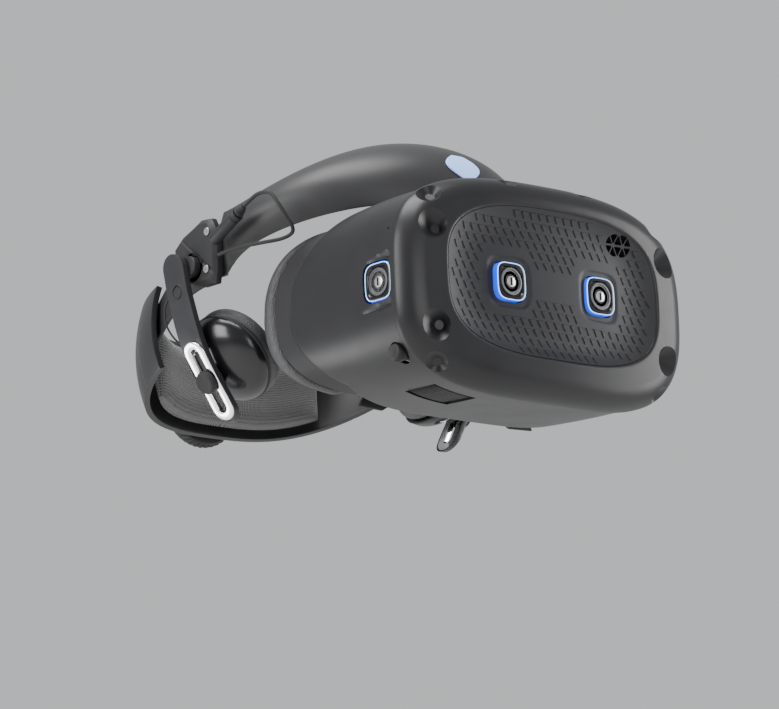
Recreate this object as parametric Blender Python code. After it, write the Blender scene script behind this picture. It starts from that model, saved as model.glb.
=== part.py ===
"""Tethered VR headset: flip-up visor, halo headband, size-adjusting rear cradle and two sprung earphones.

Points are given in millimetres from the midpoint between the two front cameras, with X towards the
wearer's left, Y towards the back of the head and Z up. The helper at() turns them into metres in the
part's own frame, whose origin is the middle of the footprint at the lowest point.
"""
import bpy
import bmesh
from math import cos, sin, pi, radians, copysign
from mathutils import Matrix, Vector

MM = 0.001
GAP = 0.3                    # clearance kept between touching pieces
FRONT_CAMERA_Y = -139.43     # where the front cameras sit in the finished frame
EYE_HEIGHT = 58.2            # height of the camera line above the lowest point

# visor
PLATE_HALF_WIDTH = 97.0
PLATE_HALF_HEIGHT = 56.6
PLATE_CENTRE_Z = -1.6
PLATE_WALL = 2.6
PLATE_DEPTH = 11.0           # how far the rim wraps back from the crowned front
WINDOW_HALF = (71.0, 38.0)   # recessed window in the faceplate
WINDOW_Z = 1.2
HOUSING_HALF_WIDTH = 95.0
HOUSING_HALF_HEIGHT = 55.0
HOUSING_WALL = 2.5
FRONT_CAMERA_X = 30.8
CAMERA_HALF = 10.6
SIDE_CAMERA_Y = 28.0
LENS_X = 31.5                # half of the lens spacing at rest
LENS_Z = -2.0
IPD_KNOB = (22.0, -38.5)     # Y, Z of the lens spacing knob
FAN_Z = 24.0                 # height of the cooling fan's axis
HINGE = (50.0, 56.2)         # Y, Z of the flip-up pin

# headband
HALO_CENTRE_Y = 150.0
HALO_HALF_WIDTH = 88.0
HALO_WALL = 3.0
REAR_HALF_WIDTH = 88.5
REAR_DEPTH = 125.0
DIAL = (0.0, -6.0)           # X, Z of the size dial
DIAL_RADIUS = 25.0

# earphone, given on the wearer's left and mirrored for the right
KNUCKLE = Vector((86.0, 167.0, 33.5))
ARM_LINE = [(104.0, 173.6, 33.0), (101.6, 172.4, 16.0), (95.4, 168.6, -11.8), (79.6, 166.4, -39.0)]
LIFT = Vector((100.2, 173.6, 41.0))          # the arm lifts off the ear about this line
ARM_WIDTH = 15.6
ARM_THICK = 3.4
CUP_CENTRE = Vector((72.9, 165.6, -11.3))
CUP_AXIS = Vector((0.80, 0.0, -0.60))
CUP_RADIUS = 24.5
CUP_DEPTH = 14.0

SIDES = (("right", -1), ("left", 1))
RING = 36                    # points round a visor outline


def at(x, y, z):
    return Vector((x, y + FRONT_CAMERA_Y, z + EYE_HEIGHT)) * MM


def clear_scene():
    for item in list(bpy.data.objects):
        bpy.data.objects.remove(item, do_unlink=True)


# ---------------------------------------------------------------- materials
def finish(name, colour, roughness, metallic=0.0):
    material = bpy.data.materials.new(name)
    shader = material.node_tree.nodes["Principled BSDF"] if material.use_nodes else None
    if shader is None:
        material.use_nodes = True
        shader = material.node_tree.nodes["Principled BSDF"]
    shader.inputs["Base Color"].default_value = (*colour, 1.0)
    shader.inputs["Roughness"].default_value = roughness
    shader.inputs["Metallic"].default_value = metallic
    material.diffuse_color = (*colour, 1.0)
    return material


FINISHES = {
    "satin": ((0.03, 0.03, 0.032), 0.42, 0.0),
    "matte": ((0.02, 0.02, 0.022), 0.6, 0.0),
    "gloss": ((0.008, 0.008, 0.009), 0.12, 0.0),
    "chrome": ((0.85, 0.86, 0.88), 0.08, 1.0),
    "steel": ((0.45, 0.45, 0.46), 0.35, 1.0),
    "rubber": ((0.015, 0.015, 0.015), 0.8, 0.0),
    "foam": ((0.02, 0.02, 0.02), 0.95, 0.0),
    "mesh": ((0.025, 0.025, 0.025), 0.9, 0.0),
    "leather": ((0.02, 0.02, 0.02), 0.5, 0.0),
    "blue": ((0.1, 0.25, 0.9), 0.3, 0.0),
    "pale_blue": ((0.4, 0.6, 0.95), 0.35, 0.0),
    "glass": ((0.01, 0.012, 0.016), 0.05, 0.0),
    "board": ((0.01, 0.06, 0.03), 0.5, 0.0),
}


# ---------------------------------------------------------------- bodies and mesh helpers
PIVOTS = {}


def pivot(name, point, parent=None):
    """An empty on a joint's axis, which carries the pieces that move with it."""
    empty = bpy.data.objects.new(name + "_pivot", None)
    bpy.context.collection.objects.link(empty)
    place = at(*point)
    empty.parent = PIVOTS[parent][0] if parent else None
    empty.location = place - (PIVOTS[parent][1] if parent else Vector((0, 0, 0)))
    PIVOTS[name] = (empty, place)


def piece(name, bm, look, body=None, smooth=35):
    """Turn a bmesh in world millimetres into a named object hung on its body."""
    bmesh.ops.remove_doubles(bm, verts=bm.verts, dist=1e-4)
    bmesh.ops.recalc_face_normals(bm, faces=bm.faces)
    place = PIVOTS[body][1] if body else Vector((0, 0, 0))
    for vert in bm.verts:
        vert.co = at(*vert.co) - place
    mesh = bpy.data.meshes.new(name)
    bm.to_mesh(mesh)
    bm.free()
    mesh.shade_smooth()
    mesh.set_sharp_from_angle(angle=radians(smooth))
    item = bpy.data.objects.new(name, mesh)
    bpy.context.collection.objects.link(item)
    if body:
        item.parent = PIVOTS[body][0]
    mesh.materials.append(finish(name, *FINISHES[look]))
    return item


def combine(item, tools, operation):
    """Cut or join hidden helper solids with an exact Boolean."""
    for tool in tools:
        tool.hide_render = True
        tool.display_type = "WIRE"
        step = item.modifiers.new(operation.lower(), "BOOLEAN")
        step.operation = operation
        step.solver = "EXACT"
        step.object = tool


def loft(rings, closed=False, flat_ends=False):
    """A solid through rings of equally many points, with fanned or flat ends, or joined end to end."""
    bm = bmesh.new()
    rows = [[bm.verts.new(point) for point in ring] for ring in rings]
    pairs = list(zip(rows, rows[1:]))
    if closed:
        pairs.append((rows[-1], rows[0]))
    for lower, upper in pairs:
        count = len(lower)
        for i in range(count):
            j = (i + 1) % count
            bm.faces.new((lower[i], lower[j], upper[j], upper[i]))
    if not closed:
        for row in (rows[0], rows[-1]):
            if flat_ends:
                bm.faces.new(row)
                continue
            centre = bm.verts.new(sum((v.co for v in row), Vector()) / len(row))
            for i in range(len(row)):
                bm.faces.new((row[i], row[(i + 1) % len(row)], centre))
    return bm


def rounded(half_width, half_height, power, y_of, centre_x=0.0, centre_z=0.0, count=RING):
    """A superellipse outline seen from the front, laid on the surface y_of(x, z)."""
    points = []
    for i in range(count):
        angle = 2 * pi * i / count
        x = half_width * copysign(abs(cos(angle)) ** (2 / power), cos(angle)) + centre_x
        z = half_height * copysign(abs(sin(angle)) ** (2 / power), sin(angle)) + centre_z
        points.append(Vector((x, y_of(x, z), z)))
    return points


def circle(centre, axis, radius, count=24, power=2.0):
    """A circle, or a squircle for a higher power, square to an axis."""
    centre, axis = Vector(centre), Vector(axis).normalized()
    side = axis.cross(Vector((0, 0, 1)))
    side = side.normalized() if side.length > 0.01 else Vector((1, 0, 0))
    up = side.cross(axis)
    points = []
    for i in range(count):
        angle = 2 * pi * (i + 0.5) / count
        u = copysign(abs(cos(angle)) ** (2 / power), cos(angle))
        v = copysign(abs(sin(angle)) ** (2 / power), sin(angle))
        points.append(centre + radius * (u * side + v * up))
    return points


def turned(start, axis, profile, count=24, power=2.0, closed=False):
    """Rings at (distance along the axis, radius) pairs."""
    start, axis = Vector(start), Vector(axis).normalized()
    return loft([circle(start + axis * along, axis, radius, count, power) for along, radius in profile], closed)


def rod(start, end, radius, count=16, power=2.0):
    length = (Vector(end) - Vector(start)).length
    return turned(start, Vector(end) - Vector(start), [(0, radius), (length, radius)], count, power)


def tube(start, end, outer, inner, count=24, power=2.0):
    length = (Vector(end) - Vector(start)).length
    profile = [(0, inner), (0, outer), (length, outer), (length, inner)]
    return turned(start, Vector(end) - Vector(start), profile, count, power, closed=True)


def block(low, high):
    bm = bmesh.new()
    bmesh.ops.create_cube(bm, size=1.0)
    low, high = Vector(low), Vector(high)
    for vert in bm.verts:
        vert.co = Vector([(low[i] + high[i]) / 2 + vert.co[i] * (high[i] - low[i]) for i in range(3)])
    return bm


def slab(outline_yz, x_start, x_end):
    """A side-view outline extruded across X."""
    return loft([[Vector((x, y, z)) for y, z in outline_yz] for x in (x_start, x_end)], flat_ends=True)


def arc(centre, radius, start, end, count):
    return [(centre[0] + radius * cos(radians(start + (end - start) * i / (count - 1))),
             centre[1] + radius * sin(radians(start + (end - start) * i / (count - 1)))) for i in range(count)]


def grid_shell(point, u_count, v_count, wall):
    """A wall of even thickness whose outer face is point(u, v); wall(u, v) gives the inner face."""
    bm = bmesh.new()
    faces = []
    for surface in (point, wall):
        faces.append([[bm.verts.new(surface(i / (u_count - 1), j / (v_count - 1)))
                       for j in range(v_count)] for i in range(u_count)])
    outer, inner = faces
    for side in faces:
        for i in range(u_count - 1):
            for j in range(v_count - 1):
                bm.faces.new((side[i][j], side[i + 1][j], side[i + 1][j + 1], side[i][j + 1]))
    for i in range(u_count - 1):
        for j in (0, v_count - 1):
            bm.faces.new((outer[i][j], outer[i + 1][j], inner[i + 1][j], inner[i][j]))
    for j in range(v_count - 1):
        for i in (0, u_count - 1):
            bm.faces.new((outer[i][j], outer[i][j + 1], inner[i][j + 1], inner[i][j]))
    return bm


def offset_surface(surface, depth):
    """The same surface moved inwards along its normal."""
    step = 1e-3

    def moved(u, v):
        du = surface(min(u + step, 1), v) - surface(max(u - step, 0), v)
        dv = surface(u, min(v + step, 1)) - surface(u, max(v - step, 0))
        normal = du.cross(dv).normalized()
        here = surface(u, v)
        outward = Vector((here.x, here.y - HALO_CENTRE_Y, 0))
        if normal.dot(outward) < 0:
            normal.negate()
        return here - normal * depth
    return moved


# ---------------------------------------------------------------- faceplate
def crown(x, z):
    """The gently domed front of the visor."""
    return -6.0 + 9.0 * (x / 97.0) ** 2 + 4.0 * (z / 60.0) ** 2


def plate_ring(inset, depth, power=3.2):
    return rounded(PLATE_HALF_WIDTH - inset, PLATE_HALF_HEIGHT - inset, power,
                   lambda x, z: crown(x, z) + depth, centre_z=PLATE_CENTRE_Z)


def window_ring(grow, depth):
    return rounded(WINDOW_HALF[0] + grow, WINDOW_HALF[1] + grow, 3.0,
                   lambda x, z: crown(x, z) + depth, centre_z=WINDOW_Z)


def make_faceplate():
    outer = [plate_ring(0, PLATE_DEPTH), plate_ring(0.4, 7.5), plate_ring(2.6, 3.6), plate_ring(6.5, 1.0),
             plate_ring(11.0, 0.0), window_ring(3.0, 0.0), window_ring(0.8, 1.6), window_ring(0, 4.2)]
    inner = [window_ring(0, 6.8), plate_ring(12.0, PLATE_WALL), plate_ring(6.0, 6.2),
             plate_ring(PLATE_WALL, PLATE_DEPTH)]
    piece("faceplate_shell", loft(outer + inner, closed=True), "satin", "faceplate")
    panel = piece("faceplate_panel", loft([window_ring(-GAP, 4.4), window_ring(-GAP, 6.6)]), "matte", "faceplate")
    holes = [piece("panel_hole_%s" % side, rod((sign * FRONT_CAMERA_X, -20, 0), (sign * FRONT_CAMERA_X, 20, 0),
                                               CAMERA_HALF + 1.3, 16, 4.5), "matte", "faceplate")
             for side, sign in SIDES]
    combine(panel, holes, "DIFFERENCE")
    board = [rounded(width, height, 3.2, lambda x, z, d=depth: d, centre_z=PLATE_CENTRE_Z)
             for width, height, depth in ((86, 49, 9.6), (86, 49, 11.2), (64, 32, 11.2), (64, 32, 9.6))]
    piece("sensor_board", loft(board, closed=True), "board", "faceplate")
    for side, sign in SIDES:
        make_camera("front_camera_%s" % side, (sign * FRONT_CAMERA_X, -2.2, 0), (0, 1, 0), 10.0, "faceplate")


def make_camera(name, face, inward, depth, body):
    """A squircle camera block inside its translucent light ring."""
    face, inward = Vector(face), Vector(inward)
    ring = tube(face + inward * 0.4, face + inward * depth, CAMERA_HALF + 1.0, CAMERA_HALF + GAP, 16, 4.5)
    piece(name + "_ring", ring, "blue", body)
    steps = [(0, CAMERA_HALF * 0.3), (0, CAMERA_HALF * 0.93), (0.6, CAMERA_HALF), (depth - 0.5, CAMERA_HALF)]
    piece(name, turned(face, inward, steps, 16, 4.5), "gloss", body)


# ---------------------------------------------------------------- visor body
def ramp(x, start, end):
    """A smooth step from the middle of the face (0) to its sides (1)."""
    t = min(max((abs(x) - start) / (end - start), 0.0), 1.0)
    return t * t * (3 - 2 * t)


def housing_point(angle, along, inset):
    """A point of the housing, from the faceplate seam (along 0) to the rear edge (1)."""
    power = 3.3 + 0.7 * along
    half_width = HOUSING_HALF_WIDTH - 7.0 * along ** 2 - inset
    half_height = HOUSING_HALF_HEIGHT - 2.5 * along ** 1.5 - inset
    x = half_width * copysign(abs(cos(angle)) ** (2 / power), cos(angle))
    z = half_height * copysign(abs(sin(angle)) ** (2 / power), sin(angle)) + PLATE_CENTRE_Z + 0.5 * along
    front = crown(x, z) + PLATE_DEPTH + GAP
    rear = 70.0 - 0.1 * z + 33.0 * ramp(x, 40, 86) * max(1 - (z / 44.0) ** 2, 0)
    return Vector((x, front + (rear - front) * along, z))


def housing_ring(along, inset):
    return [housing_point(2 * pi * i / RING, along, inset) for i in range(RING)]


def make_housing():
    steps = (0.0, 0.2, 0.4, 0.6, 0.8, 1.0)
    outer = [housing_ring(step, 0.0) for step in steps]
    inner = [housing_ring(step, HOUSING_WALL) for step in reversed(steps)]
    housing = piece("main_housing", loft(outer + inner, closed=True), "satin", "visor")
    cuts = []
    for side, sign in SIDES:
        hole = rod((sign * 82, SIDE_CAMERA_Y, -2), (sign * 105, SIDE_CAMERA_Y, -2), CAMERA_HALF + 1.3, 16, 4.5)
        cuts.append(piece("side_hole_%s" % side, hole, "matte", "visor"))
        knob = rod((sign * 70, *IPD_KNOB), (sign * 105, *IPD_KNOB), 5.0, 20)
        cuts.append(piece("knob_hole_%s" % side, knob, "matte", "visor"))
    cuts.append(piece("louvre_hole", block((-64, 22, -70), (-36, 44, -45)), "matte", "visor"))
    combine(housing, cuts, "DIFFERENCE")
    for side, sign in SIDES:
        make_camera("side_camera_%s" % side, (sign * 94.0, SIDE_CAMERA_Y, -2), (-sign, 0, 0), 10.0, "visor")


def make_louvres():
    """The exhaust grille, a slotted patch of the housing's underside."""
    def patch(inset):
        return lambda u, v: housing_point(radians(240.3 + 17.4 * u), 0.19 + 0.28 * v, inset)
    grille = piece("vent_grille", grid_shell(patch(0.2), 7, 5, patch(2.3)), "matte", "visor")
    slots = []
    for i in range(7):
        left = -60.6 + 3.2 * i
        slots.append(piece("louvre_%d" % i, block((left, 25.5, -66), (left + 1.6, 39.5, -40)), "matte", "visor"))
    combine(grille, slots, "DIFFERENCE")


def make_lens_frame():
    def flat(depth):
        return rounded(78.5, 46.0, 3.2, lambda x, z: depth, centre_z=PLATE_CENTRE_Z)
    frame = piece("lens_frame", loft([flat(70.0), flat(72.4)]), "matte", "visor")
    holes = []
    for side, sign in SIDES:
        rings = [rounded(28.6, 26.0, 2.4, lambda x, z, d=depth: d, sign * LENS_X, LENS_Z, 24) for depth in (60, 80)]
        holes.append(piece("lens_hole_%s" % side, loft(rings), "matte", "visor"))
    combine(frame, holes, "DIFFERENCE")


def make_optics():
    for side, sign in SIDES:
        body = "lens_%s" % side
        start = (sign * LENS_X, 46.0, LENS_Z)
        barrel = turned(start, (0, 1, 0), [(0, 19), (0, 21.6), (20, 24.4), (29, 24.4), (29, 22.6), (1.6, 19)],
                        24, closed=True)
        piece("lens_barrel_%s" % side, barrel, "matte", body)
        piece("display_%s" % side, block((sign * LENS_X - 27, 41.0, LENS_Z - 28), (sign * LENS_X + 27, 45.7, LENS_Z + 28)),
              "gloss", body)
        lens = [(0, 6), (0, 19.5), (1.5, 21.2), (3.2, 19.5), (5.4, 11)]
        piece("lens_%s" % side, turned((sign * LENS_X, 69.0, LENS_Z), (0, 1, 0), lens, 24), "glass", body)


def make_electronics():
    def flat(depth):
        return rounded(78.0, 44.0, 3.2, lambda x, z: depth, centre_z=PLATE_CENTRE_Z)
    piece("mainboard", loft([flat(17.0), flat(18.6)]), "board", "visor")
    fan = tube((0, 18.9, FAN_Z), (0, 27.0, FAN_Z), 15.0, 12.8, 20)
    piece("fan_housing", fan, "matte", "visor")
    hub = piece("fan_rotor", rod((0, 20.2, FAN_Z), (0, 26.0, FAN_Z), 4.5, 16), "matte", "fan")
    blades = []
    centre = Matrix.Translation((0, 0, FAN_Z))
    for i in range(7):
        blade = block((-1.0, 20.6, FAN_Z + 3.5), (1.0, 25.6, FAN_Z + 12.2))
        turn = centre @ Matrix.Rotation(2 * pi * i / 7, 4, "Y") @ centre.inverted()
        bmesh.ops.transform(blade, matrix=turn, verts=blade.verts)
        blades.append(piece("fan_blade_%d" % i, blade, "matte", "fan"))
    combine(hub, blades, "UNION")


def make_controls():
    knob = [(-45, 1.6), (0, 1.6), (0, 4.3), (5.2, 4.3), (6.0, 3.6)]
    piece("ipd_knob", turned((-85.0, *IPD_KNOB), (-1, 0, 0), knob, 20), "matte", "ipd")
    button = [(0, 2.0), (0, 4.3), (5.0, 4.3), (5.6, 3.4)]
    piece("headset_button", turned((84.0, *IPD_KNOB), (1, 0, 0), button, 20), "matte", "button")


# ---------------------------------------------------------------- face side
GASKET_HALF = (80.0, 46.4)
GASKET_Z = 1.6
NOSE = (46.3, -69.5)          # radius and centre height of the nose arch
SEAT_GAP = 0.9               # the cushion's curved seat is faceted, so it sits a little further off


def gasket_ring(inset, shift, at_rear):
    def depth(x, z):
        sides = ramp(x, 25, 80) * max(1 - (z / 54.0) ** 2, 0)
        rear = 88.0 + 35.0 * sides
        front = 75.0 + 24.0 * sides
        return (rear if at_rear else front) + shift
    return rounded(GASKET_HALF[0] - inset, GASKET_HALF[1] - inset, 4.0, depth, centre_z=GASKET_Z)


def make_face_side():
    rings = [gasket_ring(0, 0, False), gasket_ring(0, 0, True), gasket_ring(15, 0, True), gasket_ring(15, -2.4, True),
             gasket_ring(2.4, -2.4, True), gasket_ring(2.4, 0, False)]
    gasket = piece("face_gasket", loft(rings, closed=True), "matte", "visor")
    cushion = [gasket_ring(0.8, SEAT_GAP, True), gasket_ring(0.0, 6, True), gasket_ring(3.0, 11.0, True),
               gasket_ring(8.0, 12.6, True), gasket_ring(13.0, 11.0, True), gasket_ring(16.0, 5, True),
               gasket_ring(15.0, SEAT_GAP, True)]
    pad = piece("face_cushion", loft(cushion, closed=True), "leather", "visor")
    nose = piece("nose_cut", rod((0, 60, NOSE[1]), (0, 150, NOSE[1]), NOSE[0], 40), "matte", "visor")
    combine(gasket, [nose], "DIFFERENCE")
    combine(pad, [nose], "DIFFERENCE")
    lobe = [(43.0, -46.4), (57.0, -46.4), (60.0, -51.0), (44.0, -51.6), (37.5, -48.0)]
    outline = arc((0, NOSE[1]), NOSE[0] - GAP, 147, 33, 15) + lobe + arc((0, NOSE[1]), NOSE[0] - 4.3, 35, 145, 15)
    outline += [(-x, z) for x, z in reversed(lobe)]
    flap = loft([[Vector((x, y, z)) for x, z in outline] for y in (83.0, 85.0)], flat_ends=True)
    piece("nose_flap", flap, "rubber", "visor")


# ---------------------------------------------------------------- flip-up hinge
def make_hinge():
    y, z = HINGE
    knuckle = arc((y, z), 3.3, 90, 270, 9)
    profile = knuckle + [(68.0, z - 3.2), (68.0, z - 0.9), (54.5, z - 0.9)]
    bracket = piece("hinge_bracket", slab(profile, -20, 20), "matte")
    notch = piece("hinge_notch", block((-12, 40, 40), (12, 57, 70)), "matte")
    bore = piece("hinge_bore", rod((-30, y, z), (30, y, z), 1.5, 16), "steel")
    combine(bracket, [notch, bore], "DIFFERENCE")
    leaf = arc((y, z), 3.3, 90, -90, 9) + [(46.0, z - 1.2), (30.0, z - 0.6), (30.0, z + 1.6), (44.0, z + 2.6)]
    arm = piece("hinge_leaf", slab(leaf, -11.6, 11.6), "steel", "visor")
    inner_bore = piece("leaf_bore", rod((-30, y, z), (30, y, z), 1.5, 16), "steel", "visor")
    combine(arm, [inner_bore], "DIFFERENCE")
    piece("hinge_pin", rod((-20.6, y, z), (20.6, y, z), 1.2, 16), "steel")


# ---------------------------------------------------------------- halo
def halo_surface(u, v):
    """The outer face of the front band; u runs round it and v from its lower to its upper edge."""
    turn = radians(-95 + 190 * u)
    front = max(cos(turn), 0.0)
    low = Vector((HALO_HALF_WIDTH * sin(turn), HALO_CENTRE_Y - 92.0 * cos(turn), 27.0 + 29.0 * front ** 0.55))
    high = Vector((HALO_HALF_WIDTH * sin(turn), HALO_CENTRE_Y - 58.0 * front + 10 * max(-cos(turn), 0),
                   60.5 + 35.0 * front ** 1.6))
    out = Vector((0.8 * sin(turn), -0.8 * cos(turn), 0.6 * front)).normalized()
    bulge = 2.0 + 9.0 * front
    return low.lerp(high, v) + out * bulge * 4 * v * (1 - v)


def part_of(surface, u_range, v_range):
    return lambda u, v: surface(u_range[0] + (u_range[1] - u_range[0]) * u, v_range[0] + (v_range[1] - v_range[0]) * v)


def make_halo():
    shell = grid_shell(halo_surface, 27, 7, offset_surface(halo_surface, HALO_WALL))
    piece("halo_shell", shell, "satin")
    inner = part_of(halo_surface, (0.03, 0.97), (0.06, 0.94))
    liner = grid_shell(offset_surface(inner, HALO_WALL + 0.9), 25, 6, offset_surface(inner, HALO_WALL + 3.5))
    piece("halo_liner", liner, "rubber")
    brow = part_of(halo_surface, (0.26, 0.74), (0.10, 0.86))
    pad = grid_shell(offset_surface(brow, HALO_WALL + 5.2), 17, 5, offset_surface(brow, HALO_WALL + 14.0))
    piece("forehead_pad", pad, "leather")
    badge = part_of(halo_surface, (0.465, 0.535), (0.24, 0.54))
    face = grid_shell(offset_surface(badge, -1.1), 5, 5, offset_surface(badge, -GAP))
    piece("halo_badge", face, "pale_blue")


# ---------------------------------------------------------------- side brackets, jack and leads
BRACKET = [(149.4, 50), (153, 57), (161, 57.5), (168, 54.5), (176, 51.5), (183, 46), (183, 41), (177, 34), (172, 26),
           (162, 22.5), (151, 22.5), (149.4, 30)]


def make_brackets():
    for side, sign in SIDES:
        bracket = piece("side_bracket_%s" % side, slab(BRACKET, sign * 90.8, sign * 96.0), "matte")
        seat = piece("knuckle_seat_%s" % side, rod((sign * 70, *KNUCKLE[1:]), (sign * 100, *KNUCKLE[1:]), 6.2, 24), "matte")
        combine(bracket, [seat], "DIFFERENCE")
        rail = rail_surface(sign)
        plate = grid_shell(offset_surface(rail, 5.6), 11, 3, offset_surface(rail, 7.8))
        plate = piece("side_rail_%s" % side, plate, "matte")
        post = rod((sign * 80.2, 175, 43), (sign * 90.5, 175, 43), 2.6, 16)
        combine(plate, [piece("rail_post_%s" % side, post, "matte")], "UNION")


LEAD_ROUTE = [(-98, 120, 57.5), (-97, 112.5, 60.8), (-96, 104.5, 59.8), (-94, 100.5, 53.8), (-90, 99.2, 47),
              (-86, 99.6, 42.6), (-83, 103.5, 40.2), (-85.5, 108.5, 38), (-91, 117, 37), (-94.6, 130, 37),
              (-96, 140, 36.5), (-96, 146.5, 36)]


def lead(name, points, radius, body=None):
    """A flexible lead: a curve with filled caps along a smooth line through its route."""
    curve = bpy.data.curves.new(name, "CURVE")
    curve.dimensions = "3D"
    curve.bevel_depth = radius * MM
    curve.bevel_resolution = 1
    curve.use_fill_caps = True
    spline = curve.splines.new("POLY")
    path = smooth_route([Vector(p) for p in points], 3)
    spline.points.add(len(path) - 1)
    place = PIVOTS[body][1] if body else Vector((0, 0, 0))
    for knot, point in zip(spline.points, path):
        knot.co = (*(at(*point) - place), 1.0)
    item = bpy.data.objects.new(name, curve)
    bpy.context.collection.objects.link(item)
    if body:
        item.parent = PIVOTS[body][0]
    curve.materials.append(finish(name, *FINISHES["rubber"]))
    return item


def smooth_route(points, steps):
    """Catmull-Rom points through a hand-set route."""
    ends = [points[0] * 2 - points[1]] + points + [points[-1] * 2 - points[-2]]
    path = []
    for a, b, c, d in zip(ends, ends[1:], ends[2:], ends[3:]):
        for i in range(steps):
            t = i / steps
            path.append(0.5 * ((2 * b) + (c - a) * t + (2 * a - 5 * b + 4 * c - d) * t * t
                               + (3 * b - a - 3 * c + d) * t ** 3))
    path.append(points[-1])
    return path


def make_jack():
    start, end = Vector((-98.2, 147.4, 43.4)), Vector((-98.2, 127.5, 53.4))
    along = (end - start).normalized()
    length = (end - start).length
    barrel = [(0, 3.3), (length, 3.3), (length, 2.3), (length - 6, 2.3)]
    piece("headphone_jack", turned(start, along, barrel, 20), "matte")
    plug = [(-5.4, 1.9), (0.4, 1.9), (0.4, 2.8), (1.6, 2.8), (5.5, 1.6)]
    piece("headphone_plug", turned(end, along, plug, 16), "rubber")
    tip = end + along * 5.8
    lead("headphone_lead", [tuple(tip)] + LEAD_ROUTE, 1.0)
    gland = [(0, 4.0), (6, 4.0), (7, 3.4), (16, 2.6), (16, 1.4), (2, 1.4)]
    piece("cable_inlet", turned((96.0, 148.2, 44), (0, -1, 0.25), gland, 20), "rubber")


# ---------------------------------------------------------------- rear cradle
def rear_plan(turn):
    """The cradle's plan, a rounded box behind the head; turn is 0 at the front and 180 at the back."""
    x = REAR_HALF_WIDTH * copysign(abs(sin(turn)) ** 0.70, sin(turn))
    return x, HALO_CENTRE_Y + REAR_DEPTH * abs(cos(turn)) ** 0.70


def rear_surface(u, v):
    """The outer face of the rear cradle, from the wearer's right (0) round the back to the left (1)."""
    x, y = rear_plan(radians(-115 - 130 * u))
    side = abs(2 * u - 1)
    low = -27.5 + 19.0 * side ** 2
    high = 22.0 + 14.0 * side ** 1.5
    bow = 1 - 0.035 * (2 * v - 1) ** 2
    return Vector((x * bow, HALO_CENTRE_Y + (y - HALO_CENTRE_Y) * bow, low + (high - low) * v))


def rail_surface(sign):
    """A side rail runs from its bracket down and back into the end of the cradle."""
    def surface(u, v):
        x, y = rear_plan(radians(93 + 35 * u))
        fall = 3 * u ** 2 - 2 * u ** 3
        return Vector((sign * x, y, 37.0 - 24.0 * fall + (20.0 - 4.0 * u) * (v - 0.5)))
    return surface


def make_rear():
    shell = piece("rear_shell", grid_shell(rear_surface, 25, 5, offset_surface(rear_surface, HALO_WALL)), "satin", "rear")
    bore = piece("dial_bore", rod((DIAL[0], 240, DIAL[1]), (DIAL[0], 300, DIAL[1]), 4.6, 20), "matte", "rear")
    combine(shell, [bore], "DIFFERENCE")
    cover = part_of(rear_surface, (0.2, 0.8), (0.05, 0.95))
    pad = grid_shell(offset_surface(cover, HALO_WALL + 5.5), 17, 4, offset_surface(cover, HALO_WALL + 16.0))
    piece("rear_pad", pad, "mesh", "rear")
    knob = [(-8.0, 7.5), (-5.2, 7.5), (-5.2, 4.2), (0, 4.2), (0, DIAL_RADIUS - 1), (1.2, DIAL_RADIUS),
            (6.2, DIAL_RADIUS), (7.6, DIAL_RADIUS - 1.6)]
    piece("size_dial", turned((DIAL[0], 275.5, DIAL[1]), (0, 1, 0), knob, 30), "matte", "dial")


# ---------------------------------------------------------------- earphones
def arm_sections(width):
    """Cross-sections down the arm: a bent flat bar with round ends."""
    line = smooth_route([Vector(p) for p in ARM_LINE], 5)
    tangents = [(line[min(i + 1, len(line) - 1)] - line[max(i - 1, 0)]).normalized() for i in range(len(line))]
    half = width / 2
    round_end = [radians(angle) for angle in (80, 62, 44, 26, 10)]
    stations = [(line[0] - tangents[0] * half * sin(a), tangents[0], half * cos(a)) for a in round_end]
    stations += [(point, tangent, half) for point, tangent in zip(line, tangents)]
    stations += [(line[-1] + tangents[-1] * half * sin(a), tangents[-1], half * cos(a)) for a in reversed(round_end)]
    sections = []
    for point, tangent, reach in stations:
        side = Vector((0, -tangent.z, tangent.y)).normalized() * reach
        inward = Vector((-ARM_THICK, 0, 0))
        sections.append([point + side, point - side, point - side + inward, point + side + inward])
    return sections


def mirrored(points, sign):
    return [Vector((sign * p.x, p.y, p.z)) for p in points]


SLOT_DIRECTION = (Vector(ARM_LINE[3]) - Vector(ARM_LINE[2])).normalized()
SLOT_NORMAL = SLOT_DIRECTION.cross(Vector((0, -SLOT_DIRECTION.z, SLOT_DIRECTION.y)))
SLOT_NORMAL = SLOT_NORMAL.normalized() * copysign(1, SLOT_NORMAL.x)


def stadium(centre, half_length, radius, shift):
    """A slot outline along the arm, moved across X by shift."""
    along = SLOT_DIRECTION
    across = Vector((0, -along.z, along.y)).normalized()
    points = []
    for end, first in ((half_length, 0), (-half_length, 180)):
        for i in range(9):
            angle = radians(first + 180 * i / 8)
            points.append(centre + along * (end + radius * sin(angle)) + across * radius * cos(angle)
                          + Vector((shift, 0, 0)))
    return points


def make_earphones():
    for side, sign in SIDES:
        knuckle = Vector((sign * KNUCKLE.x, KNUCKLE.y, KNUCKLE.z))
        start = knuckle - Vector((sign * 2, 0, 0))
        base = piece("ear_hinge_%s" % side, rod(start, start + Vector((sign * 14.4, 0, 0)), 5.6, 24), "matte",
                     "ear_swing_%s" % side)
        foot = arc((173.6, 33.0), 6.5, -80, 80, 9) + arc((167.0, 33.5), 5.5, 100, 260, 9)
        yoke = piece("hinge_yoke_%s" % side, slab(foot, sign * 96.4, sign * 99.6), "matte", "ear_swing_%s" % side)
        combine(base, [yoke], "UNION")
        make_arm(side, sign)
        make_cup(side, sign)


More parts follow.
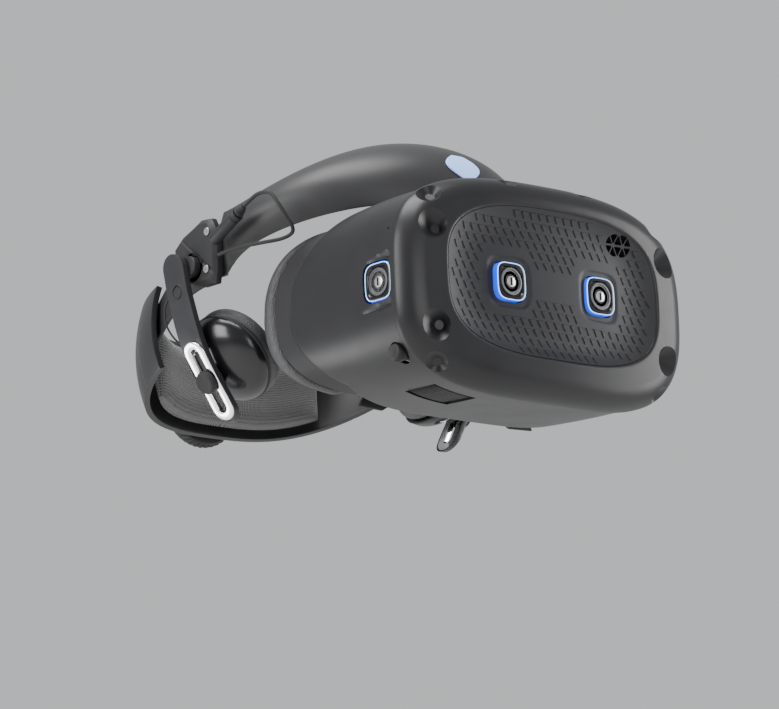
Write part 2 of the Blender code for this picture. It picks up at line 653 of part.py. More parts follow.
def make_arm(side, sign):
    body = "ear_lift_%s" % side
    arm = loft([mirrored(section, sign) for section in arm_sections(ARM_WIDTH)])
    arm = piece("ear_arm_%s" % side, arm, "satin", body)
    middle = (Vector(ARM_LINE[2]) + Vector(ARM_LINE[3])) / 2
    slot = loft([mirrored(stadium(middle, 15.2, 6.5, shift), sign) for shift in (-10, 30)])
    combine(arm, [piece("arm_slot_%s" % side, slot, "matte", body)], "DIFFERENCE")
    rings = [mirrored(stadium(middle, 15.2, radius, shift), sign)
             for radius, shift in ((2.9, -3.2), (6.2, -3.2), (6.2, 0.5), (2.9, 0.5))]
    piece("slot_insert_%s" % side, loft(rings, closed=True), "chrome", body)


def make_cup(side, sign):
    slide = "ear_slide_%s" % side
    middle = (Vector(ARM_LINE[2]) + Vector(ARM_LINE[3])) / 2
    face = Vector((sign * middle.x, middle.y, middle.z))
    slot_axis = mirrored([SLOT_NORMAL], sign)[0]
    knob = [(-5.6, 5.6), (-3.4, 5.6), (-3.4, 2.4), (0.8, 2.4), (0.8, 6.1), (3.4, 6.1), (4.2, 5.0)]
    piece("ear_slider_%s" % side, turned(face, slot_axis, knob, 24), "matte", slide)
    axis = mirrored([CUP_AXIS], sign)[0]
    tilt = "ear_tilt_%s" % side
    start = Vector((sign * CUP_CENTRE.x, CUP_CENTRE.y, CUP_CENTRE.z))
    profile = [(0, CUP_RADIUS - 2.5)]
    for i in range(8):
        angle = radians(11 * i)
        profile.append((CUP_DEPTH * sin(angle), CUP_RADIUS * cos(angle)))
    piece("ear_cup_%s" % side, turned(start, axis, profile, 28), "gloss", tilt)
    driver = [(-3.0, 10), (-3.0, 17.0), (-GAP, 17.0)]
    piece("ear_driver_%s" % side, turned(start, axis, driver, 20), "matte", tilt)
    pad = [(-GAP, 17.4), (-GAP, 23.4), (-4.0, 25.0), (-8.0, 23.6), (-9.6, 20.0), (-8.0, 16.6), (-4.0, 17.4)]
    piece("ear_pad_%s" % side, turned(start, axis, pad, 24, closed=True), "leather", tilt)


def make_pivots():
    middle = (Vector(ARM_LINE[2]) + Vector(ARM_LINE[3])) / 2
    pivot("visor", (0, *HINGE))
    pivot("faceplate", (0, 0, 0), "visor")
    pivot("ipd", (-86, *IPD_KNOB), "visor")
    pivot("button", (84, *IPD_KNOB), "visor")
    pivot("fan", (0, 23, FAN_Z), "visor")
    pivot("rear", (0, 220, 10))
    pivot("dial", (DIAL[0], 271, DIAL[1]), "rear")
    for side, sign in SIDES:
        pivot("lens_%s" % side, (sign * LENS_X, 46, LENS_Z), "visor")
        pivot("ear_swing_%s" % side, (sign * KNUCKLE.x, KNUCKLE.y, KNUCKLE.z))
        pivot("ear_lift_%s" % side, (sign * LIFT.x, LIFT.y, LIFT.z), "ear_swing_%s" % side)
        pivot("ear_slide_%s" % side, (sign * middle.x, middle.y, middle.z), "ear_lift_%s" % side)
        pole = CUP_CENTRE + CUP_AXIS * CUP_DEPTH
        pivot("ear_tilt_%s" % side, (sign * pole.x, pole.y, pole.z), "ear_slide_%s" % side)


clear_scene()
make_pivots()
make_faceplate()
make_housing()
make_louvres()
make_lens_frame()
make_optics()
make_electronics()
make_controls()
make_face_side()
make_hinge()
make_halo()
make_brackets()
make_jack()
make_rear()
make_earphones()
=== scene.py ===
from math import atan2, cos, hypot, pi, radians, sin, copysign

import bmesh
import bpy
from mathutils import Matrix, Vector


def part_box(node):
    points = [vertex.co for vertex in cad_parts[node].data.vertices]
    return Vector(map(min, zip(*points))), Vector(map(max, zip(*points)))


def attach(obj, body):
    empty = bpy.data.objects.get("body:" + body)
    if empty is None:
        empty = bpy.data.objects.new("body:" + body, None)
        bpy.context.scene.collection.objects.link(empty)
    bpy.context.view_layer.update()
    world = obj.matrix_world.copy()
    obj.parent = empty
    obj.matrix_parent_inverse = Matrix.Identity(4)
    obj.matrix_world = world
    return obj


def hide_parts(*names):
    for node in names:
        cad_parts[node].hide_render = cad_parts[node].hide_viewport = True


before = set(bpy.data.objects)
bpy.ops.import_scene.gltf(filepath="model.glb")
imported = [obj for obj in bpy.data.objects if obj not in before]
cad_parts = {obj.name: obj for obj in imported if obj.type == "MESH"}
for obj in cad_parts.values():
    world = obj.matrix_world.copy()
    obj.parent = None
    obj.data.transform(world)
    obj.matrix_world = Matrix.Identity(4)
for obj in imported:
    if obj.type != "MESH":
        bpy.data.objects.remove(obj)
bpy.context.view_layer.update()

bl_info = {
    "name": "Flip-up display headset",
    "version": (1, 0, 0),
    "blender": (4, 5, 0),
    "location": "3D View > Sidebar > Headset",
    "description": "Builds the visible pieces of a head-mounted display on its packed frame",
    "category": "Object",
}

MM = 0.001
CAMERA_LOW, CAMERA_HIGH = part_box("front_camera_left")
FRONT_CAMERA_Y = CAMERA_LOW.y / MM + 2.2
EYE_HEIGHT = (CAMERA_LOW.z + CAMERA_HIGH.z) / 2 / MM
SIDES = (("right", -1), ("left", 1))
FINISHES = {}


def at(x, y, z):
    """Millimetres from the midpoint between the front cameras to metres in the frame."""
    return Vector((x, y + FRONT_CAMERA_Y, z + EYE_HEIGHT)) * MM


# ---------------------------------------------------------------- sizes and colours a user would change
class HeadsetVisor(bpy.types.PropertyGroup):
    dent_radius: bpy.props.FloatProperty(
        name="Sensor dimple radius", description="Radius of each conical sensor dimple, in millimetres",
        default=8.6, min=4.0, max=12.0)
    dent_depth: bpy.props.FloatProperty(
        name="Sensor dimple depth", description="Depth of each sensor dimple, in millimetres",
        default=4.6, min=0.5, max=6.0)
    mark_pitch: bpy.props.FloatVectorProperty(
        name="Triangle pitch", description="Spacing of the embossed triangles across and up, in millimetres",
        default=(5.6, 5.0), size=2)
    mark_size: bpy.props.FloatProperty(
        name="Triangle size", description="Corner radius of one embossed triangle, in millimetres",
        default=2.9, min=0.5, max=4.0)
    rib_count: bpy.props.IntProperty(
        name="Exhaust ribs", description="Ribs across the exhaust grille", default=9, min=2, max=20)
    # Painted glow: the camera rings shine by emission in this colour and strength; they are no lamps.
    light: bpy.props.FloatVectorProperty(
        name="Ring light", description="Colour of the light rings round the cameras",
        default=(0.01, 0.09, 1.0), size=3, subtype="COLOR", min=0.0, max=1.0)
    ring_glow_strength: bpy.props.FloatProperty(
        name="Ring strength", description="Brightness of the light rings", default=0.7, min=0.0, max=20.0)


class HeadsetBand(bpy.types.PropertyGroup):
    dial_ridges: bpy.props.IntProperty(
        name="Dial ridges", description="Grip ridges round the size dial", default=44, min=8, max=90)
    lead_radius: bpy.props.FloatProperty(
        name="Lead radius", description="Radius of the headphone lead, in millimetres",
        default=1.0, min=0.5, max=3.0)
    badge: bpy.props.FloatVectorProperty(
        name="Badge colour", description="Colour of the plain badge on the halo",
        default=(0.30, 0.48, 0.86), size=3, subtype="COLOR", min=0.0, max=1.0)


class HeadsetSound(bpy.types.PropertyGroup):
    cup_radius: bpy.props.FloatProperty(
        name="Cup radius", description="Radius of each earphone cup, in millimetres",
        default=24.5, min=15.0, max=26.0)
    cup_depth: bpy.props.FloatProperty(
        name="Cup depth", description="Depth of each earphone dome, in millimetres",
        default=14.0, min=6.0, max=15.0)
    grille_rings: bpy.props.IntProperty(
        name="Grille rings", description="Rings of perforations over each driver", default=6, min=2, max=12)


# ---------------------------------------------------------------- finishes
class Finish:
    """A procedural material under construction."""

    def __init__(self, name, colour, roughness, metallic=0.0):
        self.material = bpy.data.materials.new(name)
        self.material.use_nodes = True
        self.nodes = self.material.node_tree.nodes
        self.links = self.material.node_tree.links
        self.shader = self.nodes["Principled BSDF"]
        self.shader.inputs["Base Color"].default_value = (*colour, 1.0)
        self.shader.inputs["Roughness"].default_value = roughness
        self.shader.inputs["Metallic"].default_value = metallic
        self.material.diffuse_color = (*colour, 1.0)
        self.place = self.nodes.new("ShaderNodeTexCoord").outputs["Object"]
        self.normal = None

    def add(self, kind, **inputs):
        node = self.nodes.new(kind)
        for name, value in inputs.items():
            socket = node.inputs[name.replace("_", " ")]
            if isinstance(value, bpy.types.NodeSocket):
                self.links.new(value, socket)
            else:
                socket.default_value = value
        return node

    def noise(self, scale, detail=3.0, roughness=0.5):
        return self.add("ShaderNodeTexNoise", Vector=self.place, Scale=scale, Detail=detail,
                        Roughness=roughness).outputs["Fac"]

    def cells(self, scale, feature="F1", vector=None):
        node = self.nodes.new("ShaderNodeTexVoronoi")
        node.feature = feature
        self.links.new(vector or self.place, node.inputs["Vector"])
        node.inputs["Scale"].default_value = scale
        return node.outputs["Distance"]

    def span(self, value, low, high, from_low=0.0, from_high=1.0):
        node = self.add("ShaderNodeMapRange", Value=value)
        node.inputs["From Min"].default_value = from_low
        node.inputs["From Max"].default_value = from_high
        node.inputs["To Min"].default_value = low
        node.inputs["To Max"].default_value = high
        return node.outputs["Result"]

    def tint(self, value, first, second):
        """Base colour from one colour to another along a value."""
        ramp = self.nodes.new("ShaderNodeValToRGB")
        ramp.color_ramp.elements[0].color = (*first, 1.0)
        ramp.color_ramp.elements[1].color = (*second, 1.0)
        self.links.new(value, ramp.inputs["Fac"])
        self.links.new(ramp.outputs["Color"], self.shader.inputs["Base Color"])

    def gloss(self, value, low, high):
        self.links.new(self.span(value, low, high), self.shader.inputs["Roughness"])

    def bump(self, height, distance, strength=1.0):
        node = self.nodes.new("ShaderNodeBump")
        node.inputs["Distance"].default_value = distance
        node.inputs["Strength"].default_value = strength
        self.links.new(height, node.inputs["Height"])
        if self.normal:
            self.links.new(self.normal, node.inputs["Normal"])
        self.normal = node.outputs["Normal"]
        self.links.new(self.normal, self.shader.inputs["Normal"])


def worn(finish, colour, lift=1.5):
    """Faint handling marks: the colour and gloss drift slowly over the surface."""
    drift = finish.noise(38.0, 4.0, 0.6)
    finish.tint(drift, colour, tuple(c * lift for c in colour))
    return drift


def moulded(name, colour, roughness, grain=2600.0, depth=0.00003, lift=1.25, mirror=0.26):
    """Moulded plastic with a fine spark-eroded grain."""
    finish = Finish(name, colour, roughness)
    finish.shader.inputs["Specular IOR Level"].default_value = mirror
    drift = worn(finish, colour, lift)
    finish.gloss(drift, roughness - 0.05, roughness + 0.09)
    finish.bump(finish.noise(grain, 2.0), depth)
    return finish.material


def metal(name, colour, roughness, brushed=0.0):
    finish = Finish(name, colour, roughness, 1.0)
    drift = worn(finish, colour, 0.9)
    finish.gloss(drift, roughness, roughness + 0.06)
    if brushed:
        stretch = finish.add("ShaderNodeMapping", Vector=finish.place)
        stretch.inputs["Scale"].default_value = (40.0, 1800.0, 1800.0)
        lines = finish.add("ShaderNodeTexNoise", Vector=stretch.outputs["Vector"], Scale=1.0)
        finish.bump(lines.outputs["Fac"], brushed)
    return finish.material


def leatherette(name, colour):
    finish = Finish(name, colour, 0.5)
    edges = finish.cells(620.0, "DISTANCE_TO_EDGE")
    finish.tint(finish.noise(60.0), colour, tuple(c * 1.7 for c in colour))
    finish.gloss(finish.noise(300.0), 0.42, 0.62)
    finish.bump(finish.span(edges, 0.0, 1.0, 0.0, 0.25), 0.00012)
    finish.bump(finish.noise(2400.0), 0.00003)
    return finish.material


def foam(name, colour):
    finish = Finish(name, colour, 0.95)
    # Painted shade: the pores are darkened to 0.4 of the foam colour and the rims between them lightened,
    # standing in for the shade inside the pores.
    pores = finish.cells(1100.0)
    finish.tint(pores, tuple(c * 0.4 for c in colour), tuple(c * 1.8 for c in colour))
    finish.bump(pores, 0.0004)
    return finish.material


def knit(name, colour):
    """Perforated spacer mesh: a honeycomb of small holes in a soft knit, each hole darkened with painted
    shade.
    """
    finish = Finish(name, colour, 0.85)
    weave = finish.nodes.new("ShaderNodeUVMap")
    weave.uv_map = "weave"
    turn = finish.add("ShaderNodeMapping", Vector=weave.outputs["UV"])
    turn.inputs["Scale"].default_value = (1.42, 0.75, 1.0)
    grid = finish.nodes.new("ShaderNodeTexVoronoi")
    grid.voronoi_dimensions = "2D"
    grid.inputs["Scale"].default_value = 1.0
    grid.inputs["Randomness"].default_value = 0.0
    finish.links.new(turn.outputs["Vector"], grid.inputs["Vector"])
    holes = grid.outputs["Distance"]
    # Painted shade: each hole is darkened to 0.12 of the knit colour, standing in for the shade inside it.
    finish.tint(finish.span(holes, 0.0, 1.0, 0.24, 0.36), tuple(c * 0.12 for c in colour),
                tuple(c * 1.6 for c in colour))
    finish.shader.inputs["Sheen Weight"].default_value = 0.3
    finish.bump(finish.span(holes, 0.0, 1.0, 0.15, 0.5), 0.0003)
    finish.bump(finish.noise(3200.0), 0.00008)
    return finish.material


# Painted glow: emission makes a part shine by itself though it is no lamp.
def glowing(name, colour, strength):
    finish = Finish(name, colour, 0.3)
    finish.shader.inputs["Emission Color"].default_value = (*colour, 1.0)
    glow = finish.span(finish.noise(90.0), strength * 0.8, strength * 1.2)
    finish.links.new(glow, finish.shader.inputs["Emission Strength"])
    finish.bump(finish.noise(700.0), 0.00002)
    return finish.material


def circuit(name, colour):
    finish = Finish(name, colour, 0.45)
    tracks = finish.cells(260.0, "DISTANCE_TO_EDGE")
    finish.tint(finish.span(tracks, 0.0, 1.0, 0.02, 0.06), tuple(c * 2.2 for c in colour), colour)
    finish.bump(tracks, 0.00005)
    return finish.material


def make_finishes():
    visor = bpy.context.scene.headset_visor
    band = bpy.context.scene.headset_band
    FINISHES.update({
        "plate": moulded("SatinFaceplate", (0.009, 0.009, 0.010), 0.34, 3000.0, 0.00002),
        "panel": moulded("MatteWindowFloor", (0.010, 0.010, 0.012), 0.42),
        "housing": moulded("SatinHousing", (0.011, 0.011, 0.012), 0.34, 3000.0, 0.00002),
        "halo": moulded("SatinHalo", (0.020, 0.020, 0.021), 0.40, 3000.0, 0.00002),
        "cradle": moulded("SatinCradle", (0.012, 0.012, 0.013), 0.38, 3000.0, 0.00002),
        "arm": moulded("SatinArm", (0.016, 0.016, 0.018), 0.34),
        "matte": moulded("MattePlastic", (0.011, 0.011, 0.012), 0.52, 1800.0, 0.00005),
        # Painted shade: near-black matte for the driver perforations, the camera slits and the rings round
        # the hinge seats, where shade falls.
        "painted_shade": moulded("PaintedShadeRecess", (0.004, 0.004, 0.004), 0.8),
        "gloss": moulded("GlossBlack", (0.004, 0.004, 0.005), 0.20, 900.0, 0.000004, mirror=0.4),
        "gunmetal": metal("LensBarrelGrey", (0.16, 0.16, 0.17), 0.34),
        "silver": metal("SilverIris", (0.62, 0.62, 0.60), 0.28),
        "chrome": metal("PolishedInsert", (0.90, 0.90, 0.92), 0.07),
        "steel": metal("BrushedSteel", (0.48, 0.48, 0.49), 0.30, 0.00003),
        "gold": metal("GoldContact", (0.80, 0.60, 0.25), 0.25),
        "rubber": moulded("SoftRubber", (0.016, 0.016, 0.016), 0.72, 1400.0, 0.00006),
        "leather": leatherette("BlackLeatherette", (0.018, 0.018, 0.019)),
        "foam": foam("DarkFoam", (0.020, 0.020, 0.021)),
        "knit": knit("PerforatedMesh", (0.030, 0.030, 0.031)),
        # Painted glow on the blue camera rings.
        "ring": glowing("PaintedGlowRingBlue", tuple(visor.light), visor.ring_glow_strength),
        # Painted highlight: a light-blue glowing line along each camera ring's lip.
        "painted_rim_highlight": glowing("PaintedHighlightRim", (0.45, 0.70, 1.0), 1.7),
        # Painted glow: the badge shines by emission though it is a plain mark.
        "badge": glowing("PaintedGlowBadge", tuple(band.badge), 0.25),
        "board": circuit("CircuitBoard", (0.010, 0.060, 0.030)),
    })
    glass = Finish("LensGlass", (0.012, 0.014, 0.018), 0.04)
    glass.shader.inputs["Coat Weight"].default_value = 0.8
    glass.gloss(glass.noise(50.0), 0.03, 0.07)
    FINISHES["glass"] = glass.material


# ---------------------------------------------------------------- mesh helpers
def loft(rings, closed=False, flat_ends=False):
    """A solid through rings of equally many points, with fanned or flat ends, or joined end to end."""
    bm = bmesh.new()
    rows = [[bm.verts.new(point) for point in ring] for ring in rings]
    pairs = list(zip(rows, rows[1:]))
    if closed:
        pairs.append((rows[-1], rows[0]))
    for lower, upper in pairs:
        count = len(lower)
        for i in range(count):
            j = (i + 1) % count
            bm.faces.new((lower[i], lower[j], upper[j], upper[i]))
    if not closed:
        for row in (rows[0], rows[-1]):
            if flat_ends:
                bm.faces.new(row)
                continue
            centre = bm.verts.new(sum((v.co for v in row), Vector()) / len(row))
            for i in range(len(row)):
                bm.faces.new((row[i], row[(i + 1) % len(row)], centre))
    return bm


def sheet_between(outer, inner, u_count, v_count):
    """A wall between two surfaces of (u, v), closed round its edges."""
    bm = bmesh.new()
    faces = []
    for surface in (outer, inner):
        faces.append([[bm.verts.new(surface(i / (u_count - 1), j / (v_count - 1)))
                       for j in range(v_count)] for i in range(u_count)])
    top, under = faces
    for side in faces:
        for i in range(u_count - 1):
            for j in range(v_count - 1):
                bm.faces.new((side[i][j], side[i + 1][j], side[i + 1][j + 1], side[i][j + 1]))
    for i in range(u_count - 1):
        for j in (0, v_count - 1):
            bm.faces.new((top[i][j], top[i + 1][j], under[i + 1][j], under[i][j]))
    for j in range(v_count - 1):
        for i in (0, u_count - 1):
            bm.faces.new((top[i][j], top[i][j + 1], under[i][j + 1], under[i][j]))
    weave = bm.loops.layers.uv.new("weave")
    steps = {vert: (i, j) for side in faces for i, row in enumerate(side) for j, vert in enumerate(row)}
    for face in bm.faces:
        for loop in face.loops:
            loop[weave].uv = steps[loop.vert]
    return bm


def circle(centre, axis, radius, count=48, power=2.0):
    centre, axis = Vector(centre), Vector(axis).normalized()
    side = axis.cross(Vector((0, 0, 1)))
    side = side.normalized() if side.length > 0.01 else Vector((1, 0, 0))
    up = side.cross(axis)
    points = []
    for i in range(count):
        angle = 2 * pi * (i + 0.5) / count
        u = copysign(abs(cos(angle)) ** (2 / power), cos(angle))
        v = copysign(abs(sin(angle)) ** (2 / power), sin(angle))
        points.append(centre + radius * (u * side + v * up))
    return points


def turned(start, axis, profile, count=48, power=2.0, closed=False):
    """Rings at (distance along the axis, radius) pairs."""
    start, axis = Vector(start), Vector(axis).normalized()
    return loft([circle(start + axis * along, axis, radius, count, power) for along, radius in profile],
                closed)


def rod(start, end, radius, count=32, power=2.0):
    length = (Vector(end) - Vector(start)).length
    return turned(start, Vector(end) - Vector(start), [(0, radius), (length, radius)], count, power)


def tube(start, end, outer, inner, count=48, power=2.0):
    length = (Vector(end) - Vector(start)).length
    profile = [(0, inner), (0, outer), (length, outer), (length, inner)]
    return turned(start, Vector(end) - Vector(start), profile, count, power, closed=True)


def block(low, high):
    bm = bmesh.new()
    bmesh.ops.create_cube(bm, size=1.0)
    low, high = Vector(low), Vector(high)
    for vert in bm.verts:
        vert.co = Vector([(low[i] + high[i]) / 2 + vert.co[i] * (high[i] - low[i]) for i in range(3)])
    return bm


def slab(outline_yz, x_start, x_end):
    """A side-view outline extruded across X."""
    return loft([[Vector((x, y, z)) for y, z in outline_yz] for x in (x_start, x_end)], flat_ends=True)


def arc(centre, radius, start, end, count):
    turns = [radians(start + (end - start) * i / (count - 1)) for i in range(count)]
    return [(centre[0] + radius * cos(t), centre[1] + radius * sin(t)) for t in turns]


def joined(parts):
    """Several bmeshes as one."""
    bm = bmesh.new()
    for part in parts:
        mesh = bpy.data.meshes.new("part")
        part.to_mesh(mesh)
        part.free()
        bm.from_mesh(mesh)
        bpy.data.meshes.remove(mesh)
    return bm


def mesh_object(name, bm, placed=False):
    if not placed:
        bmesh.ops.remove_doubles(bm, verts=bm.verts, dist=1e-4)
        bmesh.ops.recalc_face_normals(bm, faces=bm.faces)
        for vert in bm.verts:
            vert.co = at(*vert.co)
    mesh = bpy.data.meshes.new(name)
    bm.to_mesh(mesh)
    bm.free()
    item = bpy.data.objects.new(name, mesh)
    bpy.context.collection.objects.link(item)
    return item


def bake_modifiers(item):
    """Turn a piece with live modifiers into one plain mesh."""
    evaluated = item.evaluated_get(bpy.context.evaluated_depsgraph_get())
    mesh = bpy.data.meshes.new_from_object(evaluated)
    item.modifiers.clear()
    old = item.data
    item.data = mesh
    bpy.data.meshes.remove(old)
    mesh.name = item.name


def piece(name, bm, look, body, stands_for=(), bevel=0.0, smooth=35, cuts=()):
    """A finished piece in millimetres, cut, bevelled and smoothed, riding on its body."""
    item = mesh_object(name, bm)
    tools = [mesh_object("tool", tool) for tool in cuts]
    for tool in tools:
        cut = item.modifiers.new("cut", "BOOLEAN")
        cut.operation = "DIFFERENCE"
        cut.solver = "EXACT"
        cut.object = tool
    if bevel:
        edge = item.modifiers.new("edge", "BEVEL")
        edge.width = bevel * MM
        edge.segments = 3
        edge.limit_method = "ANGLE"
        edge.angle_limit = radians(40)
    if item.modifiers:
        bake_modifiers(item)
    for tool in tools:
        bpy.data.objects.remove(tool, do_unlink=True)
    item.data.materials.clear()
    item.data.materials.append(FINISHES[look])
    item.data.shade_smooth()
    item.data.set_sharp_from_angle(angle=radians(smooth))
    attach(item, body)
    if stands_for:
        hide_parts(*stands_for)
    return item


def paint(node, look):
    """A better finish on a CAD node whose shape stays."""
    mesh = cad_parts[node].data
    for i in range(len(mesh.materials)):
        mesh.materials[i] = FINISHES[look]
    if not mesh.materials:
        mesh.materials.append(FINISHES[look])


def repeated(name, sites, look, body, build_unit, sizes, smooth=35):
    """One shape set on many sites by a Geometry Nodes tree.

    Each site is (place in millimetres, outward direction, spin in degrees). build_unit(tree, inputs) adds the
    nodes of one unit, with its Z outwards, and returns its geometry socket.
    """
    bm = bmesh.new()
    for place, _, _ in sites:
        bm.verts.new(at(*place))
    item = mesh_object(name, bm, placed=True)
    facing = item.data.attributes.new("facing", "FLOAT_VECTOR", "POINT")
    for i, (_, outward, _) in enumerate(sites):
        facing.data[i].vector = Vector(outward)
    spin = item.data.attributes.new("spin", "FLOAT", "POINT")
    for i, (_, _, degrees) in enumerate(sites):
        spin.data[i].value = radians(degrees)
    tree = bpy.data.node_groups.new(name, "GeometryNodeTree")
    tree.interface.new_socket("Geometry", in_out="INPUT", socket_type="NodeSocketGeometry")
    sockets = {}
    for title, value in sizes.items():
        socket = tree.interface.new_socket(title, in_out="INPUT", socket_type="NodeSocketFloat")
        socket.default_value = value
        sockets[title] = socket.identifier
    tree.interface.new_socket("Geometry", in_out="OUTPUT", socket_type="NodeSocketGeometry")
    start = tree.nodes.new("NodeGroupInput")
    end = tree.nodes.new("NodeGroupOutput")
    unit = build_unit(tree, start.outputs)

    def named(title, kind):
        node = tree.nodes.new("GeometryNodeInputNamedAttribute")
        node.data_type = kind
        node.inputs["Name"].default_value = title
        return node.outputs["Attribute"]
    turn = tree.nodes.new("FunctionNodeAlignRotationToVector")
    turn.axis = "Z"
    tree.links.new(named("facing", "FLOAT_VECTOR"), turn.inputs["Vector"])
    roll = tree.nodes.new("FunctionNodeAxisAngleToRotation")
    roll.inputs["Axis"].default_value = (0, 0, 1)
    tree.links.new(named("spin", "FLOAT"), roll.inputs["Angle"])
    both = tree.nodes.new("FunctionNodeRotateRotation")
    both.rotation_space = "LOCAL"
    tree.links.new(turn.outputs["Rotation"], both.inputs["Rotation"])
    tree.links.new(roll.outputs["Rotation"], both.inputs["Rotate By"])
    spread = tree.nodes.new("GeometryNodeInstanceOnPoints")
    tree.links.new(start.outputs["Geometry"], spread.inputs["Points"])
    tree.links.new(unit, spread.inputs["Instance"])
    tree.links.new(both.outputs["Rotation"], spread.inputs["Rotation"])
    real = tree.nodes.new("GeometryNodeRealizeInstances")
    tree.links.new(spread.outputs["Instances"], real.inputs["Geometry"])
    coat = tree.nodes.new("GeometryNodeSetMaterial")
    coat.inputs["Material"].default_value = FINISHES[look]
    tree.links.new(real.outputs["Geometry"], coat.inputs["Geometry"])
    tree.links.new(coat.outputs["Geometry"], end.inputs["Geometry"])
    modifier = item.modifiers.new(name, "NODES")
    modifier.node_group = tree
    for title, value in sizes.items():
        modifier[sockets[title]] = value
    bake_modifiers(item)
    item.data.shade_smooth()
    item.data.set_sharp_from_angle(angle=radians(smooth))
    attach(item, body)
    return item


def prism(tree, sizes, sides, spin=0.0, radius="Radius", depth="Depth"):
    """A low prism whose axis is Z, with its radius and depth from the tree's inputs."""
    body = tree.nodes.new("GeometryNodeMeshCylinder")
    body.inputs["Vertices"].default_value = sides
    tree.links.new(sizes[radius], body.inputs["Radius"])
    tree.links.new(sizes[depth], body.inputs["Depth"])
    place = tree.nodes.new("GeometryNodeTransform")
    place.inputs["Rotation"].default_value = (0, 0, radians(spin))
    tree.links.new(body.outputs["Mesh"], place.inputs["Geometry"])
    return place.outputs["Geometry"]


def bar(tree, sizes):
    """A bar with rounded ends along X, with its length, width and height from the tree's inputs."""
    body = tree.nodes.new("GeometryNodeMeshUVSphere")
    body.inputs["Segments"].default_value = 12
    body.inputs["Rings"].default_value = 8
    body.inputs["Radius"].default_value = 0.5
    size = tree.nodes.new("ShaderNodeCombineXYZ")
    for axis, title in zip("XYZ", ("Length", "Width", "Height")):
        tree.links.new(sizes[title], size.inputs[axis])
    place = tree.nodes.new("GeometryNodeTransform")
    tree.links.new(body.outputs["Mesh"], place.inputs["Geometry"])
    tree.links.new(size.outputs["Vector"], place.inputs["Scale"])
    return place.outputs["Geometry"]


# ---------------------------------------------------------------- visor surfaces
PLATE = (97.0, 56.6, -1.6)
WINDOW = (71.0, 38.0, 1.2)
CAMERA_POWER = 3.8
FRONT_CAMERA_X = 30.8
LENS_X = 31.5
LENS_Z = -2.0
VENT = (46.9, 28.8)
IPD_KNOB = (22.0, -38.5)
FINE = 360
SIDE_CAMERA = (94.0, 28.0, -2.0)
HINGE = (50.0, 56.2)
HEAD_Y = 150.0


def superellipse(angle, half_width, half_height, power):
    return (half_width * copysign(abs(cos(angle)) ** (2 / power), cos(angle)),
            half_height * copysign(abs(sin(angle)) ** (2 / power), sin(angle)))


def rounded(half_width, half_height, power, y_of, centre_x=0.0, centre_z=0.0, count=FINE):
    points = []
    for i in range(count):
        x, z = superellipse(2 * pi * i / count, half_width, half_height, power)
        points.append(Vector((x + centre_x, y_of(x + centre_x, z + centre_z), z + centre_z)))
    return points


def crown(x, z):
    """The gently domed front of the visor."""
    return -6.0 + 9.0 * (x / 97.0) ** 2 + 4.0 * (z / 60.0) ** 2


def plate_ring(inset, depth, power=3.2):
    return rounded(PLATE[0] - inset, PLATE[1] - inset, power, lambda x, z: crown(x, z) + depth,
                   centre_z=PLATE[2])


def window_ring(grow, depth):
    return rounded(WINDOW[0] + grow, WINDOW[1] + grow, 3.0, lambda x, z: crown(x, z) + depth,
                   centre_z=WINDOW[2])


def dents():
    """Sensor dimples: centre, inward direction, offset of the flat from the centre, radius and depth."""
    visor = bpy.context.scene.headset_visor
    size, depth = visor.dent_radius, visor.dent_depth
    marks = []
    for sign in (-1, 1):
        marks.append(((sign * 79.5, 0.6, 24.6), (sign * -0.30, 0.95, -0.08), (-sign * 4.6, 0, -2.6), size,
                      depth))
        marks.append(((sign * 79.5, 0.6, -27.8), (sign * -0.30, 0.95, 0.08), (-sign * 4.6, 0, 1.6), size,
                      depth))
        marks.append(((sign * 80.0, 5.0, -46.4), (sign * -0.42, 0.66, 0.62), (-sign * 5.0, 0, -1.6), 11.4,
                      5.0))
        marks.append(((sign * 80.0, 5.0, 41.6), (sign * -0.40, 0.66, -0.63), (-sign * 5.0, 0, 1.0), 10.4,
                      4.4))
        marks.append(((sign * 27.0, 2.0, 54.0), (0, 0.5, -0.86), (0, 0, 0), 8.6, 3.0))
    return marks


def dimple_cutters():
    """Oblique cones, wider than each dimple outside the surface and ending in its small flat."""
    cones = []
    for centre, inward, offset, radius, depth in dents():
        inward = Vector(inward).normalized()
        run = inward * depth + Vector(offset) * 0.7
        cones.append(loft([circle(Vector(centre) + run * t, inward, radius + (2.4 - radius) * t, 72)
                           for t in (-0.9, 1.0)], flat_ends=True))
    return joined(cones)


def make_faceplate_shell():
    rings = [plate_ring(0, depth) for depth in (11, 10, 9)]
    rings += [plate_ring(inset, depth) for inset, depth in
              ((0.15, 8.2), (0.4, 7.4), (0.9, 6.3), (1.5, 5.2), (2.3, 4.1), (3.3, 3.0), (4.6, 2.0),
               (6.2, 1.2),
               (8.2, 0.5), (10.0, 0.12))]
    steps = 24
    for i in range(steps + 1):
        t = i / steps
        outer = plate_ring(11.5, 0.0)
        inner = window_ring(2.6, 0.0)
        rings.append([a.lerp(b, t) for a, b in zip(outer, inner)])
    for ring in rings[-steps - 1:]:
        for point in ring:
            point.y = crown(point.x, point.z)
    rings += [window_ring(grow, depth) for grow, depth in
              ((2.0, 0.05), (1.5, 0.2), (1.0, 0.5), (0.6, 0.95), (0.3, 1.6), (0.1, 2.6), (0.0, 4.0),
               (0, 7.0))]
    rings += [plate_ring(14.0, 7.2), plate_ring(9.0, 8.4), plate_ring(3.2, 10.4), plate_ring(2.6, 11.0)]
    piece("faceplate_skin", loft(rings, closed=True), "plate", "faceplate", ["faceplate_shell"],
          cuts=[dimple_cutters()], smooth=24)


def squircle_reach(x, z, centre_x, centre_z, power=4.5):
    return (abs(x - centre_x) ** power + abs(z - centre_z) ** power) ** (1 / power)


